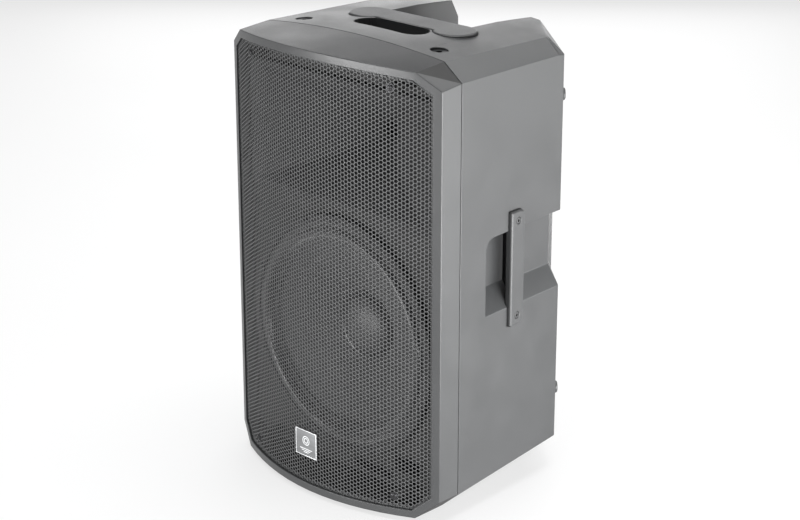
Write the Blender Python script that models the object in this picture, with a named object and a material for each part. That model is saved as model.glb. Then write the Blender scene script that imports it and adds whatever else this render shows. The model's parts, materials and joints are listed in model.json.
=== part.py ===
"""Two-way PA speaker cabinet with a 15 inch woofer, a horn and a rear amplifier module.

Metres, +Z up. The front faces -Y and +X is on the right when the cabinet is seen from the front.
The origin is on the floor, under the middle of the cabinet. Every piece hangs on the empty named
cabinet, which stands at the height of the rubber feet and ahead of the middle of the depth. The
dimensions below count from it: z = 0 is the shell's flat base, and the two shells part at y = 0.
"""

import math

import bmesh
import bpy
from mathutils import Matrix, Vector

for old in list(bpy.data.objects):
    bpy.data.objects.remove(old, do_unlink=True)

# ---------------------------------------------------------------- driving dimensions
HALF_WIDTH = 0.2125
HEIGHT = 0.680  # the top's two long edges at the seam, above the base
TOP_CROWN = 0.0103  # how far the middle of the top stands above its long edges
FEET_HEIGHT = 0.008
MID_DEPTH = 0.11115  # how far the middle of the overall depth lies behind the seam
WALL = 0.005
GAP = 0.0003  # clearance between pieces that meet
SEAM_GAP = 0.0008

CORNER_WIDTH = 0.0335  # bevel along the four long corners, measured across and up
TOP_CORNER_DROP = 0.0251
BASE_CORNER_RISE = 0.030

LIP_SIDE = 0.0395  # the front lip ahead of the seam, at the sides
BULGE = 0.060  # how much further the lip reaches at the middle
LIP_TOP = 0.6755
LIP_CROWN = 0.009
LIP_BASE_SAG = 0.002
LIP_WIDTH = 0.012
LEDGE = 0.0055
POST_RADIUS = 0.0075
GRILLE_RECESS = 0.004
GRILLE_THICKNESS = 0.0012
COLUMNS = 14  # strips across every bulged or crowned surface

BAFFLE_FRONT = -0.022
BAFFLE_BACK = -0.015

SIDE_DRAFT = 0.045
TOP_DRAFT = 0.020
SIDE_END = 0.2327  # where the sides turn in to the rear facets
REAR = 0.314
REAR_HALF_WIDTH = 0.110
REAR_TOP = 0.648
REAR_BASE = 0.040
TOP_END = 0.2988
TOP_END_HALF_WIDTH = 0.0985

NOTCH_HALF_WIDTH = 0.0807
NOTCH_FRONT = 0.160
NOTCH_FLOOR = 0.615
SLOT_Y = 0.080
SLOT_RADIUS = 0.024
SLOT_HALF_LENGTH = 0.068
SLOT_FLOOR = 0.607
GRIP_UNDERSIDE = 0.660
GRIP_SEAT = 0.674
GRIP_TOP = 0.6872
GRIP_FRONT = 0.1045
GRIP_PAD_X = 0.086
GRIP_PAD_Y = 0.124
GRIP_PAD_RADIUS = 0.0335
CHANNEL_FLOOR = 0.635

RIGGING_X = 0.1375
RIGGING_Y = 0.0345
RIGGING_RADIUS = 0.013
RIGGING_FLOOR = 0.6785

BAR_Y = 0.1255
BAR_WIDTH = 0.032
BAR_LOW = 0.263
BAR_HIGH = 0.441
BAR_PROUD = 0.006
BAR_SUNK = 0.006
BAR_SCREW_INSET = 0.0155
POCKET_Y = (0.126, 0.148)
POCKET_Z = (0.299, 0.4085)
POCKET_DEPTH = 0.058
RECESS_LOW = 0.2935  # the recess' lower edge, on the side's surface
RECESS_SLOPE_TOP = 0.3270  # where its sloping lower face meets its upright back
RECESS_HIGH = 0.4135
RECESS_DEPTH = 0.0155
BAR_RECESS_DEPTH = 0.024  # deeper behind the side bar
BAR_RECESS_STATIONS = ((0.059, 0.397), (0.065, 0.408), (0.074, 0.411), (0.128, 0.4125))  # y and the top there
BAR_RECESS_END = 0.1465  # the step between the two depths lies inside the finger pocket
FACET_RECESS_RUN = 0.072  # how far the recess runs along the rear facet

WOOFER_Z = 0.2326
WOOFER_RADIUS = 0.187
CONE_RADIUS = 0.150
COIL_RADIUS = 0.038
HORN_Z = 0.530
HORN_THROAT_Y = 0.085

POLE_Y = 0.085
POLE_BORE = 0.018

PANEL_HALF_WIDTH = 0.0955
PANEL_LOW = 0.1465
PANEL_HIGH = 0.4935
PANEL_FLOOR = 0.302
PANEL_THICKNESS = 0.003
PANEL_BACK = PANEL_FLOOR + GAP
PANEL_FACE = PANEL_BACK + PANEL_THICKNESS

cabinet = bpy.data.objects.new("cabinet", None)
cabinet.location = (0, -MID_DEPTH, FEET_HEIGHT)
bpy.context.collection.objects.link(cabinet)


# ---------------------------------------------------------------- materials
def material(name, colour, roughness, metallic=0.0):
    made = bpy.data.materials.new(name)
    made.use_nodes = True
    shader = made.node_tree.nodes["Principled BSDF"]
    shader.inputs["Base Color"].default_value = (*colour, 1)
    shader.inputs["Roughness"].default_value = roughness
    shader.inputs["Metallic"].default_value = metallic
    made.diffuse_color = (*colour, 1)
    return made


SHELL = material("shell_plastic", (0.115, 0.119, 0.122), 0.62)
GRILLE = material("grille_paint", (0.13, 0.135, 0.137), 0.5, 0.6)
RUBBER = material("rubber", (0.03, 0.03, 0.032), 0.85)
SOFT_GRIP = material("soft_grip", (0.09, 0.092, 0.095), 0.75)
STEEL = material("zinc_steel", (0.45, 0.46, 0.47), 0.35, 1.0)
BLACK_STEEL = material("black_steel", (0.03, 0.03, 0.032), 0.45, 0.8)
BADGE = material("badge_face", (0.28, 0.285, 0.29), 0.4, 0.5)
PAPER = material("cone_paper", (0.045, 0.045, 0.047), 0.8)
CLOTH = material("surround_cloth", (0.035, 0.035, 0.037), 0.7)
SPIDER = material("spider_cloth", (0.42, 0.26, 0.10), 0.85)
FERRITE = material("ferrite", (0.05, 0.05, 0.055), 0.6)
COPPER = material("coil_copper", (0.65, 0.33, 0.14), 0.35, 1.0)
HORN = material("horn_plastic", (0.05, 0.052, 0.054), 0.5)
ALUMINIUM = material("black_aluminium", (0.05, 0.052, 0.055), 0.45, 0.7)
BLACK_PLASTIC = material("black_plastic", (0.022, 0.022, 0.024), 0.4)
BOARD = material("circuit_board", (0.02, 0.12, 0.05), 0.5)


# ---------------------------------------------------------------- modelling helpers
def add(name, points, faces, finish, smooth=None):
    """A closed mesh object on the cabinet empty, with its faces turned outward."""
    mesh = bpy.data.meshes.new(name)
    mesh.from_pydata([tuple(p) for p in points], [], faces)
    shape = bmesh.new()
    shape.from_mesh(mesh)
    bmesh.ops.remove_doubles(shape, verts=shape.verts, dist=1e-7)
    bmesh.ops.recalc_face_normals(shape, faces=shape.faces)
    shape.to_mesh(mesh)
    shape.free()
    mesh.materials.append(finish)
    if smooth is not None:
        mesh.shade_smooth()
        mesh.set_sharp_from_angle(angle=math.radians(smooth))
    made = bpy.data.objects.new(name, mesh)
    made.parent = cabinet
    bpy.context.collection.objects.link(made)
    return made


def helper(shape):
    """Marks an object that only cuts or joins, and isn't a piece of the cabinet."""
    shape.hide_render = True
    shape.display_type = "WIRE"
    return shape


def boolean(target, operand, operation="DIFFERENCE"):
    step = target.modifiers.new(operand.name, "BOOLEAN")
    step.operation = operation
    step.solver = "EXACT"
    step.object = operand
    return target


def bevel(target, width, segments=1, angle=40):
    step = target.modifiers.new("edge", "BEVEL")
    step.width = width
    step.segments = segments
    step.limit_method = "ANGLE"
    step.angle_limit = math.radians(angle)
    return target


def loft(name, rings, finish, smooth=None, closed=False, fans=False):
    """Joins rings of equally many points. closed joins the last ring to the first instead of capping.

    fans splits the quads in two and closes each end with triangles round its middle.
    """
    count = len(rings[0])
    points = [p for ring in rings for p in ring]
    faces = []
    pairs = len(rings) if closed else len(rings) - 1
    for i in range(pairs):
        a, b = i * count, (i + 1) % len(rings) * count
        for j in range(count):
            k = (j + 1) % count
            quad = (a + j, a + k, b + k, b + j)
            faces += [quad[:3], (quad[0], quad[2], quad[3])] if fans else [quad]
    if fans:
        for start in (0, (len(rings) - 1) * count):
            ring = points[start : start + count]
            middle = len(points)
            points.append(tuple(sum(p[i] for p in ring) / count for i in range(3)))
            faces += [(middle, start + j, start + (j + 1) % count) for j in range(count)]
    elif not closed:
        faces.append(tuple(reversed(range(count))))
        faces.append(tuple(range((len(rings) - 1) * count, len(rings) * count)))
    return add(name, points, faces, finish, smooth)


def box(name, low, high, finish=SHELL):
    (x0, y0, z0), (x1, y1, z1) = low, high
    lower = [(x0, y0, z0), (x1, y0, z0), (x1, y1, z0), (x0, y1, z0)]
    return loft(name, [lower, [(x, y, z1) for x, y, _ in lower]], finish)


def turned(name, profile, finish, centre=(0, 0, 0), axis="Y", steps=40, smooth=35):
    """Turns a closed profile of (radius, place along the axis) points. It may touch the axis at its ends."""
    placing = {
        "Y": lambda r, h, c, s: (r * c, h, r * s),
        "Z": lambda r, h, c, s: (r * c, r * s, h),
        "X": lambda r, h, c, s: (h, r * c, r * s),
    }[axis]
    middle = Vector(centre)
    ends_on_axis = profile[0][0] == 0 and profile[-1][0] == 0
    wall = profile[1:-1] if ends_on_axis else profile
    points = []
    for r, h in wall:
        for k in range(steps):
            turn = 2 * math.pi * k / steps
            points.append(middle + Vector(placing(r, h, math.cos(turn), math.sin(turn))))
    faces = []
    for i in range(len(wall) - 1 if ends_on_axis else len(wall)):
        a, b = i * steps, (i + 1) % len(wall) * steps
        for j in range(steps):
            k = (j + 1) % steps
            faces.append((a + j, a + k, b + k, b + j))
    if ends_on_axis:
        for end, start in ((profile[0], 0), (profile[-1], (len(wall) - 1) * steps)):
            tip = len(points)
            points.append(middle + Vector(placing(0, end[1], 1, 0)))
            faces += [(tip, start + j, start + (j + 1) % steps) for j in range(steps)]
    return add(name, points, faces, finish, smooth)


def rod(name, radius, start, end, finish=SHELL, steps=24):
    """A plain cylinder between two points."""
    a, b = Vector(start), Vector(end)
    facing = (b - a).to_track_quat("Z", "Y").to_matrix()
    rings = []
    for centre in (a, b):
        turns = (2 * math.pi * k / steps for k in range(steps))
        ring = [Vector((radius * math.cos(t), radius * math.sin(t), 0)) for t in turns]
        rings.append([centre + facing @ point for point in ring])
    return loft(name, rings, finish, 35)


def prism(name, outline, low, high, axis, finish=SHELL, smooth=None):
    """An outline of (x, z) points pushed along Y, or of (x, y) points pushed along Z."""
    if axis == "Y":
        rings = [[(x, place, z) for x, z in outline] for place in (low, high)]
    else:
        rings = [[(x, y, place) for x, y in outline] for place in (low, high)]
    return loft(name, rings, finish, smooth)


def arc(centre, radius, start, end, steps):
    """Points on a circle from one angle to another, in degrees."""
    turns = (math.radians(start + (end - start) * k / steps) for k in range(steps + 1))
    return [(centre[0] + radius * math.cos(t), centre[1] + radius * math.sin(t)) for t in turns]


def mirrored(shape, name):
    """The same piece on the other side of the cabinet."""
    mesh = shape.data.copy()
    mesh.transform(Matrix.Scale(-1, 4, Vector((1, 0, 0))))
    mesh.flip_normals()
    made = bpy.data.objects.new(name, mesh)
    made.parent = cabinet
    bpy.context.collection.objects.link(made)
    return made


# ---------------------------------------------------------------- the front's curves
def front_y(x):
    return -LIP_SIDE - BULGE * (1 - (x / HALF_WIDTH) ** 2)


def corner_shifts(rise):
    """How far a bevel's two ends move when its outline is drawn in by 1."""
    length = math.hypot(CORNER_WIDTH, rise)
    across, up = rise / length, CORNER_WIDTH / length
    return (1 - across) / up, (1 - up) / across


def front_outline(inset, top, crown, sag):
    """Columns across the front: x, height of the top edge and height of the base edge."""
    half = HALF_WIDTH - inset
    top_side, top_in = (s * inset for s in corner_shifts(TOP_CORNER_DROP))
    base_side, base_in = (s * inset for s in corner_shifts(BASE_CORNER_RISE))
    top_corner = HALF_WIDTH - CORNER_WIDTH - top_in
    base_corner = HALF_WIDTH - CORNER_WIDTH - base_in
    side_top = top - TOP_CORNER_DROP - top_side
    side_base = BASE_CORNER_RISE + base_side

    def top_z(x):
        out = abs(x)
        if out <= top_corner:
            return top - inset + crown * (1 - (out / top_corner) ** 2)
        part = (out - top_corner) / (half - top_corner)
        return (top - inset) * (1 - part) + side_top * part

    def base_z(x):
        out = abs(x)
        if out <= base_corner:
            return inset - sag * (1 - (out / base_corner) ** 2)
        part = (out - base_corner) / (half - base_corner)
        return inset * (1 - part) + side_base * part

    inner = min(top_corner, base_corner)
    marks = {round(inner * (2 * k / COLUMNS - 1), 6) for k in range(COLUMNS + 1)}
    for edge in (top_corner, base_corner, half):
        marks |= {round(edge, 6), round(-edge, 6)}
    return [(x, top_z(x), base_z(x)) for x in sorted(marks)]


def strips(name, front, back, front_outline_points, back_outline_points, finish=SHELL):
    """A solid of upright strips between two curves y = front(x) and y = back(x)."""
    fore = [(x, front(x), top) for x, top, _ in front_outline_points]
    fore += [(x, front(x), base) for x, _, base in reversed(front_outline_points)]
    rear = [(x, back(x), top) for x, top, _ in back_outline_points]
    rear += [(x, back(x), base) for x, _, base in reversed(back_outline_points)]
    count, half = len(fore), len(fore) // 2
    faces = [(i, (i + 1) % count, (i + 1) % count + count, i + count) for i in range(count)]
    for offset in (0, count):
        for i in range(half - 1):
            faces.append((offset + i, offset + i + 1, offset + count - 2 - i, offset + count - 1 - i))
    return add(name, fore + rear, faces, finish)


def far(place):
    return lambda x: place


# ---------------------------------------------------------------- front shell
def make_front_shell():
    lip = front_outline(0, LIP_TOP, LIP_CROWN, LIP_BASE_SAG)
    seam = front_outline(0, HEIGHT, TOP_CROWN, 0)
    shell = strips("front_shell", front_y, far(0), lip, seam)

    opening = front_outline(LIP_WIDTH, LIP_TOP, LIP_CROWN, LIP_BASE_SAG)
    seat = GRILLE_RECESS + GRILLE_THICKNESS + GAP
    cuts = [
        strips("grille_rebate", far(-0.2), lambda x: front_y(x) + seat, opening, opening),
    ]
    pocket = front_outline(LIP_WIDTH + LEDGE, LIP_TOP, LIP_CROWN, LIP_BASE_SAG)
    cuts.append(strips("front_pocket", far(-0.2), far(BAFFLE_FRONT), pocket, pocket))
    inside = front_outline(WALL, HEIGHT, TOP_CROWN, 0)
    cuts.append(strips("back_pocket", far(BAFFLE_BACK), far(0.05), inside, inside))
    for cut in cuts:
        boolean(shell, helper(cut))

    for name, (x, z) in GRILLE_SCREWS.items():
        outer_side = abs(x) + POST_RADIUS
        ends = (x, BAFFLE_FRONT + 0.004, z), (x, front_y(outer_side) + seat, z)
        post = rod("post_" + name, POST_RADIUS, *ends, steps=20)
        boolean(shell, helper(post), "UNION")
        tip, out = grille_point(x, z)
        hole = rod("hole_" + name, 0.0023, tip - 0.012 * out, tip + 0.01 * out, steps=12)
        boolean(shell, helper(hole))

    reach = (BAFFLE_FRONT - 0.01, BAFFLE_BACK + 0.01)
    woofer = rod("woofer_hole", 0.178, (0, reach[0], WOOFER_Z), (0, reach[1], WOOFER_Z), steps=48)
    horn = box("horn_hole", (-0.184, reach[0], HORN_Z - 0.095), (0.184, reach[1], HORN_Z + 0.095))
    port = prism("port_hole", port_outline(GAP), reach[0], reach[1], "Y")
    for cut in (woofer, horn, port):
        boolean(shell, helper(cut))
    return shell


def grille_point(x, z):
    """The grille's outer face at x and z, and its outward direction there."""
    slope = 2 * BULGE * x / HALF_WIDTH**2
    out = Vector((slope, -1, 0)).normalized()
    return Vector((x, front_y(x) + GRILLE_RECESS, z)), out


GRILLE_SCREWS = {
    "upper_left": (-0.1425, 0.6495),
    "upper_right": (0.1425, 0.6495),
    "lower_left": (-0.1465, 0.0295),
    "lower_right": (0.1465, 0.0295),
}


# ---------------------------------------------------------------- rear shell
def rear_section(y, half, top, top_corner, top_side, base_corner, base_side, base, crown):
    """One ring of the rear shell: base edge, right side, crowned top, left side."""
    ring = [(-base_corner, y, base), (base_corner, y, base), (half, y, base_side), (half, y, top_side)]
    for k in range(COLUMNS + 1):
        part = 1 - 2 * k / COLUMNS
        ring.append((part * top_corner, y, top + crown * (1 - part**2)))
    ring += [(-half, y, top_side), (-half, y, base_side)]
    return ring


def side_x(y):
    return HALF_WIDTH - SIDE_DRAFT * y


def rear_rings(inset, start):
    """The rear shell's rings from the seam backwards, drawn in by inset."""
    corner = HALF_WIDTH - CORNER_WIDTH
    seam_top, seam_base = HEIGHT - inset, inset
    bend = 0.221  # where the top's long edges turn in
    slope = (SIDE_END - bend) / (TOP_END - bend)
    turn_corner = 0.178 + slope * (TOP_END_HALF_WIDTH - 0.178)
    wall_part = (TOP_END - SIDE_END) / (REAR - SIDE_END)
    rows = [
        (
            start,
            side_x(0),
            seam_top,
            corner,
            HEIGHT - TOP_CORNER_DROP,
            corner,
            BASE_CORNER_RISE,
            seam_base,
            TOP_CROWN,
        ),
        (bend, side_x(bend), 0.6756 - inset, 0.178, 0.653, 0.149, 0.0442, seam_base, 0.0085),
        (SIDE_END, side_x(SIDE_END), 0.6755 - inset, turn_corner, 0.652, 0.1465, 0.045, seam_base, 0.008),
        (
            TOP_END,
            side_x(SIDE_END) + wall_part * (REAR_HALF_WIDTH - side_x(SIDE_END)),
            0.6749 - inset,
            TOP_END_HALF_WIDTH,
            0.6487,
            0.093,
            0.047,
            seam_base,
            0.005,
        ),
        (
            REAR - inset,
            REAR_HALF_WIDTH,
            REAR_TOP + 0.0003 - inset,
            0.0985,
            REAR_TOP - 0.0003,
            0.086,
            0.048,
            REAR_BASE + inset,
            0,
        ),
    ]
    rings = []
    for y, half, top, top_corner, top_side, base_corner, base_side, base, crown in rows:
        shrink = inset * 0.5
        rings.append(
            rear_section(
                y,
                half - inset,
                top,
                top_corner - shrink,
                top_side - shrink,
                base_corner - shrink,
                base_side + shrink,
                base,
                crown,
            )
        )
    return rings


def recess_ring(spot, out, high, depth, grow):
    """One ring of the handle recess: a level top, an upright back and a lower face that slopes outwards."""
    reach = 0.03
    slope = (RECESS_SLOPE_TOP - RECESS_LOW) / depth
    section = [
        (reach, RECESS_LOW - slope * reach - grow),
        (reach, high + grow),
        (-depth - grow, high + grow),
        (-depth - grow, RECESS_SLOPE_TOP + slope * grow - grow),
    ]
    return [spot + out * off + Vector((0, 0, z)) for off, z in section]


def side_recess(name, grow):
    """The right side's handle recess, which runs back along the side and on round the rear facet."""
    outwards = Vector((1, 0, 0))
    rings = []
    for y, high in BAR_RECESS_STATIONS:
        y = y - grow if not rings else y
        rings.append(recess_ring(Vector((side_x(y), y, 0)), outwards, high, BAR_RECESS_DEPTH, grow))
    step = Vector((side_x(BAR_RECESS_END), BAR_RECESS_END, 0))
    rings.append(recess_ring(step, outwards, RECESS_HIGH, RECESS_DEPTH, grow))

    corner = Vector((side_x(SIDE_END), SIDE_END, 0))
    along = (Vector((REAR_HALF_WIDTH, REAR, 0)) - corner).normalized()
    out = Vector((along.y, -along.x, 0))
    mitre_y = (1 - out.x) / (out.y - SIDE_DRAFT * out.x)
    mitre = Vector((1 - SIDE_DRAFT * mitre_y, mitre_y, 0))
    rings.append(recess_ring(corner, mitre, RECESS_HIGH, RECESS_DEPTH, grow))
    end = corner + along * (FACET_RECESS_RUN + grow)
    rings.append(recess_ring(end, out, RECESS_HIGH, RECESS_DEPTH, grow))
    return loft(name, rings, SHELL)


def finger_pocket(name, grow):
    """The deep part behind the side bar, where the fingers go."""
    x = side_x(BAR_Y)
    low = (x - POCKET_DEPTH - grow, POCKET_Y[0] - grow, POCKET_Z[0] - grow)
    high = (x + 0.004, POCKET_Y[1] + grow, POCKET_Z[1] + grow)
    return box(name, low, high, SHELL)


def slot_outline(grow):
    reach = SLOT_HALF_LENGTH - SLOT_RADIUS
    right = arc((reach, SLOT_Y), SLOT_RADIUS + grow, -90, 90, 8)
    left = arc((-reach, SLOT_Y), SLOT_RADIUS + grow, 90, 270, 8)
    return right + left


def grip_outline(grow):
    """The top handle's plan: a straight bar that ends in two round pads."""
    front, back = GRIP_FRONT - grow, NOTCH_FRONT - 0.002 + grow
    radius = GRIP_PAD_RADIUS + grow
    into_front = math.degrees(math.asin((GRIP_PAD_Y - front) / radius))
    right = arc((GRIP_PAD_X, GRIP_PAD_Y), radius, -180 + into_front, 90, 14)
    left = [(-x, y) for x, y in reversed(right)]
    return [(x, min(y, back)) for x, y in right + left]


def make_rear_shell():
    shell = loft("rear_shell", rear_rings(0, SEAM_GAP), SHELL, fans=True)
    cavity = helper(loft("rear_cavity", rear_rings(WALL, -0.05), SHELL, fans=True))

    notch = (NOTCH_HALF_WIDTH, NOTCH_FRONT, NOTCH_FLOOR)
    panel = ((-0.096, PANEL_FLOOR, 0.146), (0.096, 0.4, 0.494))
    around_panel = ((-0.096 - WALL, PANEL_FLOOR - WALL, 0.146 - WALL), (0.096 + WALL, 0.4, 0.494 + WALL))
    outside = [
        box("notch", (-notch[0], notch[1], notch[2]), (notch[0], 0.4, 0.8)),
        prism("slot", slot_outline(0), SLOT_FLOOR, 0.75, "Z"),
        box("under_grip", (-0.060, SLOT_Y, CHANNEL_FLOOR), (0.060, NOTCH_FRONT + 0.01, GRIP_UNDERSIDE)),
        prism("grip_seat", grip_outline(GAP), GRIP_SEAT, 0.75, "Z"),
        box("panel_recess", *panel),
    ]
    inside = [
        box("notch_room", (-notch[0] - WALL, notch[1] - WALL, notch[2] - WALL), (notch[0] + WALL, 0.4, 0.8)),
        prism("slot_room", slot_outline(WALL), SLOT_FLOOR - WALL, 0.75, "Z"),
        box("under_grip_room", (-0.12, SLOT_Y + 0.015, CHANNEL_FLOOR - WALL), (0.12, NOTCH_FRONT, 0.75)),
        box("panel_room", *around_panel),
    ]
    for side in (1, -1):
        label = "right" if side > 0 else "left"
        x = side * RIGGING_X
        seat, above = Vector((x, RIGGING_Y, RIGGING_FLOOR)), Vector((x, RIGGING_Y, 0.75))
        outside.append(rod("rigging_" + label, RIGGING_RADIUS, seat, above))
        inside.append(rod("rigging_room_" + label, 0.018, seat - Vector((0, 0, 0.006)), above))
        pieces = [side_recess("recess_" + label, 0), finger_pocket("fingers_" + label, 0)]
        rooms = [side_recess("recess_room_" + label, 0.004), finger_pocket("fingers_room_" + label, 0.004)]
        pieces.append(bar_prism("bar_seat_" + label, GAP, BAR_SUNK + GAP, 0.03))
        rooms.append(bar_prism("bar_room_" + label, WALL, BAR_SUNK + WALL, 0.03))
        if side < 0:
            pieces = [flipped(piece) for piece in pieces]
            rooms = [flipped(piece) for piece in rooms]
        outside += pieces
        inside += rooms
    for cut in outside:
        boolean(shell, helper(cut))
    for cut in inside:
        boolean(cavity, helper(cut))
    boolean(shell, cavity)

    through = [
        box("panel_opening", (-0.080, 0.25, 0.162), (0.080, 0.4, 0.478)),
        rod("pole_opening", POLE_BORE + 0.004, (0, POLE_Y, -0.05), (0, POLE_Y, 0.05), steps=32),
    ]
    for x in (-RIGGING_X, RIGGING_X):
        through.append(rod("insert_hole", 0.0088, (x, RIGGING_Y, 0.64), (x, RIGGING_Y, 0.72), steps=20))
    for side in (1, -1):
        for z in (BAR_LOW + BAR_SCREW_INSET, BAR_HIGH - BAR_SCREW_INSET):
            x = side_x(BAR_Y)
            ends = (side * (x - 0.03), BAR_Y, z), (side * (x + 0.03), BAR_Y, z)
            through.append(rod("bar_screw_hole", 0.0028, *ends, steps=12))
    for cut in through:
        boolean(shell, helper(cut))
    return shell


def flipped(shape):
    made = mirrored(shape, shape.name + "_m")
    bpy.data.objects.remove(shape, do_unlink=True)
    return made


# ---------------------------------------------------------------- handles
def side_frame():
    """The right side's surface at the bar: outward direction and a level direction along it."""
    along = Vector((-SIDE_DRAFT, 1, 0)).normalized()
    return Vector((along.y, -along.x, 0)), along


def bar_prism(name, grow, sunk, proud):
    """The side bar's rounded outline, pushed from sunk below the side to proud above it."""
    out, along = side_frame()
    half = BAR_WIDTH / 2 + grow
    low, high = BAR_LOW - grow, BAR_HIGH + grow
    outline = []
    for y, z, start in ((half, high, 0), (-half, high, 90), (-half, low, 180), (half, low, 270)):
        corner = (0.010 if y > 0 else 0.0012) + grow
        centre = (y - math.copysign(corner, y), z + (corner if z == low else -corner))
        outline += arc(centre, corner, start, start + 90, 3 if y > 0 else 1)
    base = Vector((side_x(BAR_Y), BAR_Y, 0))
    rings = []
    for depth in (-sunk, proud):
        rings.append([base + along * y + out * depth + Vector((0, 0, z)) for y, z in outline])
    return loft(name, rings, SOFT_GRIP)


def screw(name, head_radius, head_height, shank_radius, length, finish, steps=20):
    """A pan-head screw along +Z, its head's underside at the origin."""
    profile = [
        (0, head_height),
        (head_radius * 0.6, head_height),
        (head_radius, head_height * 0.45),
        (head_radius, 0),
        (shank_radius, 0),
        (shank_radius, -length),
        (0, -length),
    ]
    return turned(name, profile, finish, axis="Z", steps=steps)


def place(shape, spot, direction):
    """Moves a piece modelled along +Z so that its +Z points along direction from spot."""
    turn = Vector(direction).to_track_quat("Z", "Y").to_matrix().to_4x4()
    shape.data.transform(turn)
    shape.location = spot
    return shape


def make_side_handles():
    out, _ = side_frame()
    for side in (1, -1):
        label = "right" if side > 0 else "left"
        bar = bar_prism("side_handle_" + label, 0, BAR_SUNK, BAR_PROUD)
        bar = bar if side > 0 else flipped_named(bar, "side_handle_left")
        bevel(bar, 0.0022, 1, 60)
        for level, z in (("upper", BAR_HIGH - BAR_SCREW_INSET), ("lower", BAR_LOW + BAR_SCREW_INSET)):
            direction = Vector((side * out.x, out.y, 0))
            spot = Vector((side * side_x(BAR_Y), BAR_Y, z)) + direction * (BAR_PROUD - 0.0022)
            outer = spot + direction * 0.01
            hole = rod(f"screw_way_{label}_{level}", 0.0026, spot - direction * 0.03, outer, steps=12)
            sink = rod(f"screw_sink_{label}_{level}", 0.0052, spot - direction * GAP, outer, steps=20)
            for cut in (hole, sink):
                boolean(bar, helper(cut))
            name = f"side_handle_screw_{label}_{level}"
            fastener = screw(name, 0.0048, 0.0018, 0.0022, 0.022, STEEL, steps=12)
            place(fastener, spot, direction)


def flipped_named(shape, name):
    made = flipped(shape)
    made.name = name
    return made


def make_top_grip():
    grip = prism("top_handle_grip", grip_outline(0), GRIP_SEAT + GAP, GRIP_TOP, "Z", SOFT_GRIP)
    return bevel(grip, 0.0035, 2, 50)


def make_rigging_inserts():
    for label, x in (("left", -RIGGING_X), ("right", RIGGING_X)):
        floor = RIGGING_FLOOR
        profile = [(0.0045, floor + 0.0023), (0.0125, floor + 0.0023), (0.0125, floor + GAP)]
        profile += [(0.0085, floor + GAP), (0.0085, floor - 0.022), (0.0045, floor - 0.022)]
        turned("rigging_insert_" + label, profile, STEEL, (x, RIGGING_Y, 0), "Z", steps=20)


# ---------------------------------------------------------------- grille and badge
def make_grille():
    sheet = front_outline(LIP_WIDTH + 0.0006, LIP_TOP, LIP_CROWN, LIP_BASE_SAG)
    outer = GRILLE_RECESS - GAP
    grille = strips(
        "grille",
        lambda x: front_y(x) + outer,
        lambda x: front_y(x) + outer + GRILLE_THICKNESS,
        sheet,
        sheet,
        GRILLE,
    )
    for name, (x, z) in GRILLE_SCREWS.items():
        tip, out = grille_point(x, z)
        boolean(grille, helper(rod("way_" + name, 0.0024, tip - 0.01 * out, tip + 0.01 * out, steps=12)))
        fastener = screw("grille_screw_" + name, 0.0048, 0.0024, 0.0019, 0.0095, BLACK_STEEL, steps=12)
        place(fastener, tip + out * 0.0006, out)
    return grille


BADGE_X = -0.007
BADGE_Z = 0.0745


def make_badge():
    face = front_y(0) + GRILLE_RECESS - 0.0028
    half_wide, half_high = 0.022, 0.021
    low = (BADGE_X - half_wide, face, BADGE_Z - half_high)
    high = (BADGE_X + half_wide, face + 0.0022, BADGE_Z + half_high)
    return bevel(box("badge", low, high, BADGE), 0.0006, 1)


# ---------------------------------------------------------------- woofer
AXIS = (0, 0, WOOFER_Z)
RING_FRONT = -0.030
RING_BACK = BAFFLE_FRONT - GAP
CONE_EDGE_Y = -0.0235
CONE_APEX_Y = 0.034
BASKET_FLOOR = 0.066
PLATE_FRONT = 0.0703


def cone_y(r):
    """The cone's front face: straight, with a little flare towards its edge."""
    part = (CONE_RADIUS - r) / (CONE_RADIUS - COIL_RADIUS)
    return CONE_EDGE_Y + (CONE_APEX_Y - CONE_EDGE_Y) * part**0.92


def make_woofer_frame():
    profile = [
        (WOOFER_RADIUS, RING_FRONT + 0.0015),
        (WOOFER_RADIUS, RING_BACK),
        (0.1765, RING_BACK),
        (0.1765, 0.000),
        (0.100, 0.062),
        (0.082, BASKET_FLOOR + 0.004),
        (0.042, BASKET_FLOOR + 0.004),
        (0.042, BASKET_FLOOR),
        (0.080, BASKET_FLOOR),
        (0.097, 0.0575),
        (0.1725, -0.004),
        (0.1725, RING_BACK - 0.002),
        (0.168, RING_BACK - 0.002),
        (0.168, RING_FRONT),
        (WOOFER_RADIUS - 0.0015, RING_FRONT),
    ]
    frame = turned("woofer_frame", profile, BLACK_STEEL, AXIS, steps=36)
    for k in range(6):
        turn = math.radians(30 + 60 * k)
        spread = math.radians(19)
        corners = []
        for y, r in ((0.004, 0.21), (0.053, 0.21), (0.053, 0.092), (0.004, 0.14)):
            corners.append((r, y))
        rings = []
        for angle in (turn - spread, turn - spread / 3, turn + spread / 3, turn + spread):
            rings.append([(r * math.cos(angle), y, WOOFER_Z + r * math.sin(angle)) for r, y in corners])
        boolean(frame, helper(loft(f"basket_window_{k}", rings, SHELL)))
    return frame


def make_surround():
    """A half-round roll between the frame's ring and the cone's edge."""
    thick = 0.0012
    outer = RING_FRONT - GAP
    roll, middle = 0.0078, 0.1600
    inner_y = CONE_EDGE_Y - 0.0020
    crest = [(r, y + outer - thick) for r, y in arc((middle, 0), roll + thick, 0, -180, 6)]
    under = [(r, y + outer - thick) for r, y in arc((middle, 0), roll, -180, 0, 6)]
    profile = [(0.176, outer - thick)] + crest[:-1]
    profile += [(crest[-1][0], inner_y - thick), (0.1440, inner_y - thick - 0.0012)]
    profile += [(0.1440, inner_y - 0.0012), (under[0][0], inner_y)] + under[1:]
    profile += [(0.1685, outer), (0.176, outer)]
    return turned("woofer_surround", profile, CLOTH, AXIS, steps=36)


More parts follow.
